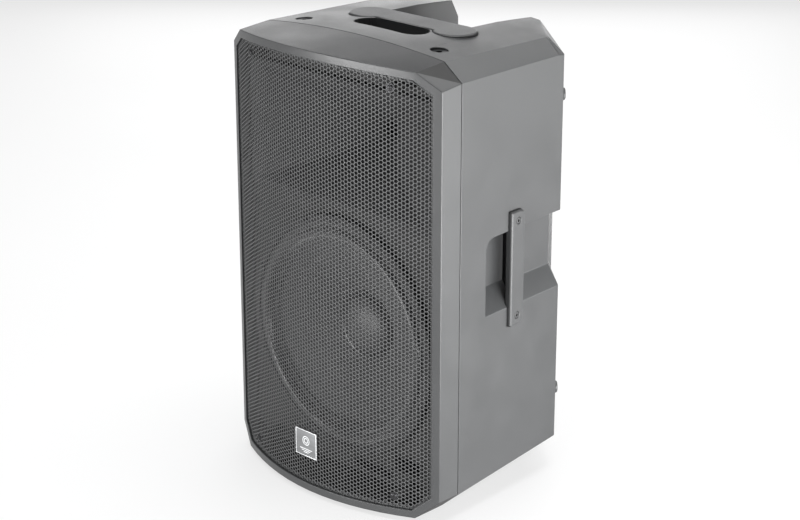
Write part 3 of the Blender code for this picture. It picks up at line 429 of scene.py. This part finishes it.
def honeycomb(across, low, high):
    """A flat sheet of six-sided rings, from -across to across and low to high, in the XZ plane."""
    columns, rows = int(across / COLUMN_PITCH) + 1, int((high - low) / ROW_PITCH) + 3
    corners = [(math.cos(math.radians(60 * k)), math.sin(math.radians(60 * k))) for k in range(6)]
    wide, tall = COLUMN_PITCH / 1.5, ROW_PITCH / math.sqrt(3)
    shape = bmesh.new()
    for i in range(-columns, columns + 1):
        for j in range(rows):
            s, z = i * COLUMN_PITCH, low + (j + 0.5 * (i % 2)) * ROW_PITCH
            outer, inner = (
                [shape.verts.new((s + size * wide * c, 0, z + size * tall * d)) for c, d in corners]
                for size in (1, HOLE_PART)
            )
            for k in range(6):
                n = (k + 1) % 6
                shape.faces.new((outer[k], outer[n], inner[n], inner[k]))
    bmesh.ops.remove_doubles(shape, verts=shape.verts, dist=CELL_WELD)
    return shape


def cut_away(shape, spot, outward):
    geometry = shape.verts[:] + shape.edges[:] + shape.faces[:]
    bmesh.ops.bisect_plane(shape, geom=geometry, plane_co=spot, plane_no=outward, clear_outer=True, dist=WELD)


def make_grille():
    """Six-sided holes in a flat sheet, trimmed to its outline and bent to the front's curve, in halves."""
    xs = np.linspace(0, grille_high.x + SPARE_WIDTH, BEND_STEPS)
    slope = 2 * BULGE * xs / HALF_WIDTH**2
    lengths = np.concatenate([[0], np.cumsum(np.hypot(1, (slope[1:] + slope[:-1]) / 2) * np.diff(xs))])
    for side, name in ((1, "grille_mesh_right"), (-1, "grille_mesh_left")):
        shape = honeycomb(lengths[-1], grille_low.z, grille_high.z)
        cut_away(shape, (0, 0, 0), (-side, 0, 0))
        for v in shape.verts:
            bent = float(np.interp(abs(v.co.x), lengths, xs))
            v.co.x = math.copysign(bent, side) if abs(v.co.x) > CAD_WELD else 0
        for (x, z), (across, up) in grille_edges():
            cut_away(shape, (x, 0, z), (across, 0, up))
        for v in shape.verts:
            v.co.y = front_y(v.co.x) + GRILLE_DEPTH
        bmesh.ops.recalc_face_normals(shape, faces=shape.faces)
        if sum(face.normal.y for face in shape.faces) > 0:
            bmesh.ops.reverse_faces(shape, faces=shape.faces)
        mesh = bpy.data.meshes.new(name)
        shape.to_mesh(mesh)
        shape.free()
        made = settle(name, mesh, MESH, smooth=40, replaces=("grille",))
        step = made.modifiers.new("sheet", "SOLIDIFY")
        step.thickness = SHEET
        step.offset = -1


# ---------------------------------------------------------------- screws
# A head's radius and height.
GRILLE_SCREW = (0.0050, 0.0022)
BASKET_BOLT = (0.0048, 0.0026)
HORN_SCREW = (0.0036, 0.0020)
PANEL_SCREW = (0.0036, 0.0018)
HEAD_SUNK = 0.0012  # how far a head reaches into its seat
RECESS_SUNK = 0.0004
RECESS_PROUD = 0.00012  # the recess is a black piece of painted shade that just shows above the head
WASHER = [(0.0026, 0), (0.0062, 0), (0.0064, 0.0003), (0.0062, 0.0006), (0.0026, 0.0006)]
WASHER_SEAT = 0.0001


def pan_head(radius, height):
    """A pan head along +Z, as parts of its radius and height."""
    dome = [(1, 0.25), (0.93, 0.6), (0.7, 0.9), (0.4, 1), (0, 1)]
    profile = [(radius, -HEAD_SUNK)] + [(radius * across, height * up) for across, up in dome]
    return lathe(smoothed(profile, 1), (0, 0, 0), "Z", 32)


def cross_recess(radius, height):
    arm, wide = radius * 0.55, radius * 0.14
    low, high = height - RECESS_SUNK, height + RECESS_PROUD
    return joined(block((-arm, -wide, low), (arm, wide, high)), block((-wide, -arm, low), (wide, arm, high)))


def make_screw(name, spot, direction, size, replaces=()):
    """A cross-head screw of a radius and height, with its recess as a black piece of its own, painted shade.
    """
    head, recess = pan_head(*size), cross_recess(*size)
    piece(name, turned_to(head, direction, spot), SCREW_BLACK, replaces=replaces)
    piece(name + "_recess", turned_to(recess, direction, spot), SOCKET_PAINTED_SHADE)


def make_grille_screws():
    for level in ("upper", "lower"):
        for side in ("left", "right"):
            node = f"grille_screw_{level}_{side}"
            low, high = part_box(node)
            x, z = (low.x + high.x) / 2, (low.z + high.z) / 2
            out = front_normal(x)
            make_screw(node + "_head", grille_spot(x, z, SHEET), out, GRILLE_SCREW, (node,))
            washer = lathe(WASHER, (0, 0, 0), "Z", 32, True)
            seat = grille_spot(x, z, WASHER_SEAT)
            piece(node + "_washer", turned_to(washer, out, seat), SCREW_BLACK)


# ---------------------------------------------------------------- badge
BADGE_BACK = 0.0004  # room between the plate and the grille
BADGE_CORNER = 0.0007
BADGE_FACE = 0.00005  # the border and marks are placed from here, just inside the plate's front
BORDER_WIDTH = 0.0011
BORDER_PROUD, BORDER_SUNK, BORDER_EDGE = 0.0003, 0.0008, 0.0002
MARK_WIDTH = 0.0013
MARK_PROUD, MARK_SUNK, MARK_EDGE = 0.0001, 0.0004, 0.0001
RING_CENTRE = 0.60  # up the badge, as a part of its height
RING_PARTS = (0.17, 0.10)  # radii, as parts of the badge's width
BAR_PARTS = (0.30, 0.21, 0.12)  # half lengths, as parts of the badge's width
FIRST_BAR, BAR_STEP = 0.26, 0.065  # as parts of its height


def make_badge():
    """A bordered plate with two generic rings and three level bars."""
    low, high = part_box("badge")
    wide, tall = high.x - low.x, high.z - low.z
    plate = block(low, (high.x, high.y - BADGE_BACK, high.z), BADGE_CORNER, 3)
    piece("badge_plate", plate, PLATE, replaces=("badge",))
    face = low.y + BADGE_FACE
    left, right = low.x + BORDER_WIDTH, high.x - BORDER_WIDTH
    for name, x0, z0, x1, z1 in (
        ("left", low.x, low.z, left, high.z),
        ("right", right, low.z, high.x, high.z),
        ("top", left, high.z - BORDER_WIDTH, right, high.z),
        ("bottom", left, low.z, right, low.z + BORDER_WIDTH),
    ):
        border = block((x0, face - BORDER_PROUD, z0), (x1, face + BORDER_SUNK, z1), BORDER_EDGE)
        piece("badge_border_" + name, border, PLATE_MARK)
    centre = Vector(((low.x + high.x) / 2, face - MARK_PROUD, low.z + tall * RING_CENTRE))
    for k, part in enumerate(RING_PARTS):
        outer, inner = wide * part, wide * part - MARK_WIDTH
        outline = [(outer, 0), (inner, 0), (inner, MARK_SUNK), (outer, MARK_SUNK)]
        piece(f"badge_ring_{k}", lathe(outline, centre, "Y", 40, True), PLATE_MARK)
    for k, part in enumerate(BAR_PARTS):
        z = low.z + tall * (FIRST_BAR - BAR_STEP * k)
        bar_low = (centre.x - wide * part, face - MARK_PROUD, z)
        bar_high = (centre.x + wide * part, face + MARK_SUNK, z + MARK_WIDTH)
        piece(f"badge_bar_{k}", block(bar_low, bar_high, MARK_EDGE, 1), PLATE_MARK)


# ---------------------------------------------------------------- woofer
WOOFER = Vector((0, 0, (ring_low.z + ring_high.z) / 2))
RING_FRONT = ring_low.y

GASKET = [  # radius, and how far it stands ahead of the basket's ring
    (0.1862, 0.0002),
    (0.1862, 0.0026),
    (0.1850, 0.0034),
    (0.1772, 0.0034),
    (0.1760, 0.0026),
    (0.1760, 0.0002),
]
BOLTS = 8
BOLT_CIRCLE = 0.1812
BOLT_SEAT = 0.0034

SECTORS = 24
SECTOR_STEPS = 8
ROLL = 0.0079  # the surround's half-round roll
ROLL_STEPS = 16
CREST_RADIUS = 0.1600
CREST_PROUD = 0.0006
SURROUND_RADIUS = 0.1755
SURROUND_THICK = 0.0011
ROLL_FOOT, ROLL_HEEL = 0.001, 0.0006  # flat cloth at the roll's outer and inner edges
CONE_OVERLAP = 0.006  # the glued band on the cone
BAND_PROUD, BAND_END_PROUD = 0.0008, 0.0006

COIL_RADIUS = 0.0387
CONE_INSET = 0.0006
CONE_END = 0.0016  # the paper stops this far ahead of its CAD node's back
CONE_THICK = 0.0012
CONE_STEPS = 24
CONE_CURVE = 0.92  # 1 would be a straight cone
RIBS = 6
RIB_RISE, RIB_WIDTH = 0.0005, 0.12  # the width is a part of the step between ribs

CAP_OVERLAP = 0.0015  # how far the dust dome reaches past its CAD node
CAP_STEPS, CAP_STEP = 14, 6  # degrees a step
CAP_RIM = [(0, 0.0004), (-0.0012, 0.0016)]
CAP_SQUEEZE = 0.97
CAP_SEAT = 0.001
GLUE = [(0.0030, 0.0035), (0.0012, 0.0030), (-0.0006, 0.0018)]  # outside the cap's radius, ahead of its rim


def sector(profile, centre, start, end, steps):
    """The part of a closed profile's turned shape between two angles about the Y axis."""
    shape = bmesh.new()
    rings = []
    for k in range(steps + 1):
        turn = start + (end - start) * k / steps
        ring = [centre + Vector((r * math.cos(turn), 0, r * math.sin(turn))) for r, _ in profile]
        rings.append([shape.verts.new((p.x, y, p.z)) for p, (_, y) in zip(ring, profile)])
    for a, b in zip(rings, rings[1:]):
        for j in range(len(profile)):
            n = (j + 1) % len(profile)
            shape.faces.new((a[j], a[n], b[n], b[j]))
    return shape


def make_surround(edge_y, cone_radius):
    """The half-round roll, in sectors that each reach from the basket to the cone."""
    outer, inner, crest_y = CREST_RADIUS + ROLL, CREST_RADIUS - ROLL, RING_FRONT - CREST_PROUD
    profile = [(SURROUND_RADIUS, crest_y), (outer + ROLL_FOOT, crest_y)]
    for k in range(ROLL_STEPS + 1):
        turn = math.pi * k / ROLL_STEPS
        profile.append((CREST_RADIUS + ROLL * math.cos(turn), crest_y - ROLL * math.sin(turn)))
    profile.append((inner - ROLL_HEEL, edge_y - BAND_PROUD))
    profile.append((cone_radius - CONE_OVERLAP, edge_y - BAND_END_PROUD))
    back = [(r, y + SURROUND_THICK) for r, y in reversed(profile)]
    for k in range(SECTORS):
        start, end = (2 * math.pi * (k + part) / SECTORS for part in (0, 1))
        shape = sector(profile + back, WOOFER, start, end, SECTOR_STEPS)
        first = () if k else ("woofer_surround",)
        made = piece(f"woofer_surround_{k}", shape, CLOTH, None, replaces=first)
        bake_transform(made)


def make_cone(low, high):
    """Paper that curves in from the surround to the coil, with raised rings pressed into it."""
    edge_y, apex_y, radius = low.y, high.y - CONE_END, (high.x - low.x) / 2
    make_surround(edge_y, radius)
    rows = []
    for k in range(CONE_STEPS + 1):
        part = k / CONE_STEPS
        r = radius - CONE_INSET + (COIL_RADIUS - radius + CONE_INSET) * part
        y = edge_y + (apex_y - edge_y) * ((radius - r) / (radius - COIL_RADIUS)) ** CONE_CURVE
        rows.append((r, y + RIB_RISE * math.exp(-(((part * RIBS) % 1 - 0.5) / RIB_WIDTH) ** 2)))
    back = [(r, y + CONE_THICK) for r, y in reversed(rows)]
    paper = lathe(rows + back, WOOFER, "Y", 128, True)
    piece("woofer_cone_paper", paper, PAPER, "cone_assembly", 50, ("woofer_cone",))


def make_dust_cap(low, high):
    """A dome on the cone's middle, with a bead of glue round it."""
    radius = (high.x - low.x) / 2 + CAP_OVERLAP
    rise = high.y - low.y
    dome = [(radius + out, high.y - ahead) for out, ahead in CAP_RIM]
    for k in range(1, CAP_STEPS + 1):
        turn = math.radians(CAP_STEP * k + CAP_STEP)
        ahead = CAP_SEAT + (rise - CAP_SEAT) * math.sin(turn)
        dome.append((radius * CAP_SQUEEZE * math.cos(turn), high.y - ahead))
    dome.append((0, low.y))
    cap = lathe(dome, WOOFER)
    piece("woofer_dust_dome", cap, CAP_PAPER, "cone_assembly", 60, ("woofer_dust_cap",))
    bead = smoothed([(radius + out, high.y - ahead) for out, ahead in GLUE])
    piece("dust_dome_glue", lathe(bead, WOOFER), CLOTH, "cone_assembly", 60)


def make_woofer():
    softened("woofer_frame", "woofer_basket", BLACK_STEEL, CAST_EDGE, 2)
    gasket = [(r, RING_FRONT - ahead) for r, ahead in GASKET]
    piece("woofer_gasket", lathe(gasket, WOOFER, "Y", 128, True), RUBBER)
    for k in range(BOLTS):
        turn = 2 * math.pi * (k + 0.5) / BOLTS
        along = Vector((BOLT_CIRCLE * math.cos(turn), RING_FRONT - BOLT_SEAT, BOLT_CIRCLE * math.sin(turn)))
        make_screw(f"woofer_bolt_{k}", WOOFER + along, (0, -1, 0), BASKET_BOLT)
    make_cone(*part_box("woofer_cone"))
    make_dust_cap(*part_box("woofer_dust_cap"))


# ---------------------------------------------------------------- horn
HORN_Z = (horn_low.z + horn_high.z) / 2
DRIVER_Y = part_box("compression_driver")[0].y
HORN_STEPS = 24
HORN_WALL = 0.0022
THROAT_GAP = 0.0006
THROAT_HALF = 0.0130
MOUTH_HALF_WIDE, MOUTH_HALF_TALL = 0.178, 0.089
MOUTH_CORNER, THROAT_CORNER = 0.0060, 0.0120
WIDE_CUBIC = 0.38  # the part of the opening that comes late, near the mouth
TALL_QUARTIC = 0.20
FLANGE = (  # how far behind the mouth, half width, half height and corner radius
    (0.0052, 0.1878, 0.0983, 0.007),
    (0.0012, 0.1878, 0.0983, 0.007),
    (0.0, 0.1866, 0.0971, 0.006),
)
HORN_SCREW_SPOTS = (
    (-0.1835, 0.0935),
    (0.1835, 0.0935),
    (-0.1835, -0.0935),
    (0.1835, -0.0935),
    (0, 0.0938),
    (0, -0.0938),
)


def rounded_ring(y, half_wide, half_tall, corner, steps=8):
    ring = []
    for side, up, start in ((1, 1, 0), (-1, 1, 90), (-1, -1, 180), (1, -1, 270)):
        for k in range(steps + 1):
            turn = math.radians(start + 90 * k / steps)
            x = side * (half_wide - corner) + corner * math.cos(turn)
            ring.append(Vector((x, y, HORN_Z + up * (half_tall - corner) + corner * math.sin(turn))))
    return ring


def make_horn():
    """A waveguide whose walls open on a curve, with a flat flange on the baffle."""
    mouth, throat = horn_low.y, DRIVER_Y - THROAT_GAP
    rings = [rounded_ring(mouth + behind, *size) for behind, *size in FLANGE]
    for k in range(HORN_STEPS + 1):
        part = k / HORN_STEPS
        opening = 1 - part
        wide = (1 - WIDE_CUBIC) * opening + WIDE_CUBIC * opening**3
        tall = (1 - TALL_QUARTIC) * opening + TALL_QUARTIC * opening**4
        half_wide = THROAT_HALF + (MOUTH_HALF_WIDE - THROAT_HALF) * wide
        half_tall = THROAT_HALF + (MOUTH_HALF_TALL - THROAT_HALF) * tall
        corner = MOUTH_CORNER + (THROAT_CORNER - MOUTH_CORNER) * part
        rings.append(rounded_ring(mouth + (throat - mouth) * part, half_wide, half_tall, corner))
    shape = bmesh.new()
    rings = [[shape.verts.new(spot) for spot in ring] for ring in rings]
    for a, b in zip(rings, rings[1:]):
        for j in range(len(a)):
            k = (j + 1) % len(a)
            if (a[j].co - a[k].co).length > WELD or (b[j].co - b[k].co).length > WELD:
                shape.faces.new((a[j], a[k], b[k], b[j]))
    horn = piece("horn_waveguide", shape, HORN, smooth=30, replaces=("horn",))
    skin = horn.modifiers.new("wall", "SOLIDIFY")
    skin.thickness = HORN_WALL
    skin.offset = 1
    for k, (x, up) in enumerate(HORN_SCREW_SPOTS):
        make_screw(f"horn_screw_{k}", Vector((x, mouth, HORN_Z + up)), (0, -1, 0), HORN_SCREW)


# ---------------------------------------------------------------- handles, feet and fittings
# The side bars' screws: profiles of radius and height, from a seat just inside the CAD screw's outer end.
HEX_HEAD_SEAT = 0.0018
HEX_HEAD = [
    (0.0047, -0.0003),
    (0.0047, 0.0010),
    (0.0044, 0.0015),
    (0.0026, 0.0018),
    (0.0023, 0.0017),
    (0.0023, -0.0003),
]
# the socket: a black lining of painted shade inside the head
HEX_SOCKET = [(0.0024, 0.0015), (0.0022, 0.0014), (0.0020, 0.0002), (0, 0.0002)]


def hex_socket_screw(name, node):
    """A flat countersunk head with a hexagonal socket lined in black as painted shade, on the outer end of a
    CAD screw.
    """
    low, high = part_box(node)
    side = 1 if high.x > 0 else -1
    out = Vector((side, SIDE_DRAFT, 0)).normalized()
    tip = Vector((high.x if side > 0 else low.x, (low.y + high.y) / 2, (low.z + high.z) / 2))
    spot = tip - out * HEX_HEAD_SEAT
    head = turned_to(lathe(HEX_HEAD, (0, 0, 0), "Z", 36, True), out, spot)
    piece(name, head, SCREW_GREY, replaces=(node,))
    socket = turned_to(lathe(HEX_SOCKET, (0, 0, 0), "Z", 6), out, spot)
    piece(name + "_socket", socket, SOCKET_PAINTED_SHADE)


def make_handles():
    for side in ("left", "right"):
        softened("side_handle_" + side, "side_bar_" + side, GRIP, SOFT_EDGE)
        for level in ("upper", "lower"):
            node = f"side_handle_screw_{side}_{level}"
            hex_socket_screw(node + "_head", node)
    softened("top_handle_grip", "top_grip", GRIP, SOFT_EDGE)
    for side in ("left", "right"):
        softened("rigging_insert_" + side, "rigging_seat_" + side, BLACK_STEEL, FINE_EDGE, 2)


def make_feet():
    for node in sorted(nodes):
        if node.startswith("foot_"):
            softened(node, node + "_rubber", RUBBER, CAST_EDGE)
        elif node.startswith("side_foot_"):
            softened(node, node + "_pad", GREY_RUBBER, SOFT_EDGE)


# ---------------------------------------------------------------- amplifier module
KNOBS = ("input_1_knob", "input_2_knob", "master_knob")
PRINT = 0.0003
FLANGE_PROUD = 0.0022  # the sockets' flanges ahead of the panel's face
PANEL_SCREW_INSET = 0.0055
PANEL_SCREW_PARTS = (0.02, 0.26, 0.50, 0.74, 0.98)  # up the panel
DIAL_RADIUS = 0.0115
DIAL_DOTS = 11
DIAL_START, DIAL_STEP = -60, 30  # degrees
DOT_RADIUS = 0.0006
POINTER_HALF = 0.0005
POINTER_START, POINTER_END = 0.0020, 0.0070
POINTER_SUNK, POINTER_PROUD = 0.0002, 0.0001
LENS = [(0.0016, 0), (0.0015, 0.0008), (0, 0.0014)]
LAMPS = ((GREEN_LENS, 0.050), (RED_LENS, 0.060))


def make_amplifier():
    softened("amp_panel", "amp_plate", ANODISED, PANEL_EDGE, 2)
    softened("heatsink", "heatsink_fins", ANODISED, FINE_EDGE, 2)
    for node in ("combo_socket_1", "combo_socket_2", "link_socket", "power_switch_frame", "mains_inlet"):
        softened(node, node + "_moulding", BLACK_PLASTIC, FINE_EDGE, 2)
    for node in (*KNOBS, "mic_line_button", "power_rocker"):
        softened(node, node + "_cap", BLACK_PLASTIC, KNOB_EDGE, 2)


def finish_inner_nodes():
    """Finishes for the CAD nodes that keep their shape."""
    for node, finish in (
        ("amp_board", BOARD),
        ("transformer", LACQUER),
        ("compression_driver", FERRITE),
        ("compression_driver_cap", BLACK_PLASTIC),
        ("woofer_top_plate", ZINC),
        ("woofer_magnet", FERRITE),
        ("woofer_back_plate", ZINC),
        ("woofer_voice_coil", COPPER),
        ("woofer_spider", SPIDER),
        ("port_duct", HORN),
        ("pole_socket", BLACK_STEEL),
    ):
        own = nodes[node].data
        own.materials.clear()
        own.materials.append(finish)


def make_panel_marks():
    """Generic marks, lamps and screws on the amplifier's panel, with a pointer on each knob."""
    low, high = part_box("amp_panel")
    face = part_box("combo_socket_1")[1].y - FLANGE_PROUD
    outward = Vector((0, 1, 0))
    for side in (-1, 1):
        for part in PANEL_SCREW_PARTS:
            spot = Vector((side * (high.x - PANEL_SCREW_INSET), face, low.z + (high.z - low.z) * part))
            make_screw(f"panel_screw_{side}_{part}", spot, outward, PANEL_SCREW)
    for node in KNOBS:
        knob_low, knob_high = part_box(node)
        x, z = (knob_low.x + knob_high.x) / 2, (knob_low.z + knob_high.z) / 2
        for k in range(DIAL_DOTS):
            turn = math.radians(DIAL_START + DIAL_STEP * k)
            spot = Vector((x + DIAL_RADIUS * math.cos(turn), face, z + DIAL_RADIUS * math.sin(turn)))
            dot = lathe([(DOT_RADIUS, 0), (DOT_RADIUS, PRINT), (0, PRINT)], (0, 0, 0), "Z", 12)
            piece(f"{node}_mark_{k}", turned_to(dot, outward, spot), WHITE_PRINT)
        pointer_low = (x - POINTER_HALF, knob_high.y - POINTER_SUNK, z + POINTER_START)
        pointer_high = (x + POINTER_HALF, knob_high.y + POINTER_PROUD, z + POINTER_END)
        pointer = block(pointer_low, pointer_high)
        piece(node + "_pointer", pointer, WHITE_PRINT, BODY_OF[node])
    lamp_z = (knob_low.z + knob_high.z) / 2
    for k, (finish, across) in enumerate(LAMPS):
        lens = lathe(smoothed(LENS), (0, 0, 0), "Z", 24)
        spot = Vector((across, face, lamp_z))
        piece(f"panel_lamp_{k}", turned_to(lens, outward, spot), finish)


# ---------------------------------------------------------------- stage, lights and camera
FLOOR_REACH = 60
FLOOR_GLOW = 0.68  # a floor that shines a little stays pale right up to the object
WORLD_COLOUR = (0.92, 0.93, 0.95, 1)
WORLD_STRENGTH = 0.10


def make_stage():
    floor_mesh = bpy.data.meshes.new("floor")
    corners = [(FLOOR_REACH * x, FLOOR_REACH * y, 0) for x, y in ((-1, -1), (1, -1), (1, 1), (-1, 1))]
    floor_mesh.from_pydata(corners, [], [(0, 1, 2, 3)])
    pale = textured("pale_floor", (0.22, 0.22, 0.22), 0.7, grain=300, depth=0.00002, spread=0.01, patches=2)
    shader = pale.node_tree.nodes["Principled BSDF"]
    shader.inputs["Emission Color"].default_value = (1, 1, 1, 1)
    shader.inputs["Emission Strength"].default_value = FLOOR_GLOW
    floor_mesh.materials.append(pale)
    floor = bpy.data.objects.new("floor", floor_mesh)
    bpy.context.scene.collection.objects.link(floor)

    world = bpy.data.worlds.new("studio")
    world.use_nodes = True
    background = world.node_tree.nodes["Background"]
    background.inputs["Color"].default_value = WORLD_COLOUR
    background.inputs["Strength"].default_value = WORLD_STRENGTH
    bpy.context.scene.world = world
    bpy.context.scene.view_settings.view_transform = "Standard"


def softbox(name, spot, aim, size, power):
    light = bpy.data.lights.new(name, "AREA")
    light.shape = "RECTANGLE"
    light.size, light.size_y = size
    light.energy = power
    made = bpy.data.objects.new(name, light)
    made.location = spot
    made.rotation_euler = (Vector(aim) - Vector(spot)).to_track_quat("-Z", "Y").to_euler()
    bpy.context.scene.collection.objects.link(made)


def make_lights():
    middle, low_side = (0, 0, 0.35), (0.2, 0.05, 0.1)
    softbox("right_strip", (2.4, 0.3, 0.25), middle, (2.4, 0.45), 98)
    softbox("back_right_strip", (1.5, 2.0, 0.2), middle, (2.2, 0.4), 7)
    softbox("front_softbox", (0.6, -3.2, 1.3), middle, (2.0, 1.6), 5)
    softbox("front_strip", (-0.6, -2.8, 0.2), middle, (2.2, 0.4), 75)
    softbox("top_softbox", (0, 0, 3.6), middle, (2.4, 2.4), 120)
    softbox("top_back_softbox", (0.4, 1.6, 2.3), middle, (2.2, 1.4), 22)
    softbox("low_right_strip", (1.1, -0.1, 0.10), low_side, (1.2, 0.15), 14)
    softbox("edge_softbox", (-2.1, -1.7, 1.95), middle, (1.0, 0.5), 14)
    softbox("back_left_softbox", (-2.0, 2.2, 1.0), middle, (2.2, 1.6), 21)


CAMERA_YAW = 0.7673
CAMERA_PITCH = 0.3381
CAMERA_SPOT = (2.0333, -2.0103, 1.3884)  # from the middle of the seam, on the shell's base
CAMERA_LENS = 91.94
CAMERA_SENSOR = 36
CAMERA_SHIFT = -0.03125


def make_camera():
    data = bpy.data.cameras.new("camera")
    data.lens = CAMERA_LENS
    data.sensor_width = CAMERA_SENSOR
    data.shift_y = CAMERA_SHIFT
    camera = bpy.data.objects.new("camera", data)
    x, y, z = CAMERA_SPOT
    camera.location = (x, y + SEAM_Y, z + BASE_Z)
    camera.rotation_euler = (math.pi / 2 - CAMERA_PITCH, 0, CAMERA_YAW)
    bpy.context.scene.collection.objects.link(camera)
    bpy.context.scene.camera = camera


# ---------------------------------------------------------------- build
make_camera()
make_stage()
make_lights()
make_shells()
make_grille()
make_grille_screws()
make_badge()
make_woofer()
make_horn()
make_handles()
make_feet()
make_amplifier()
finish_inner_nodes()
make_panel_marks()
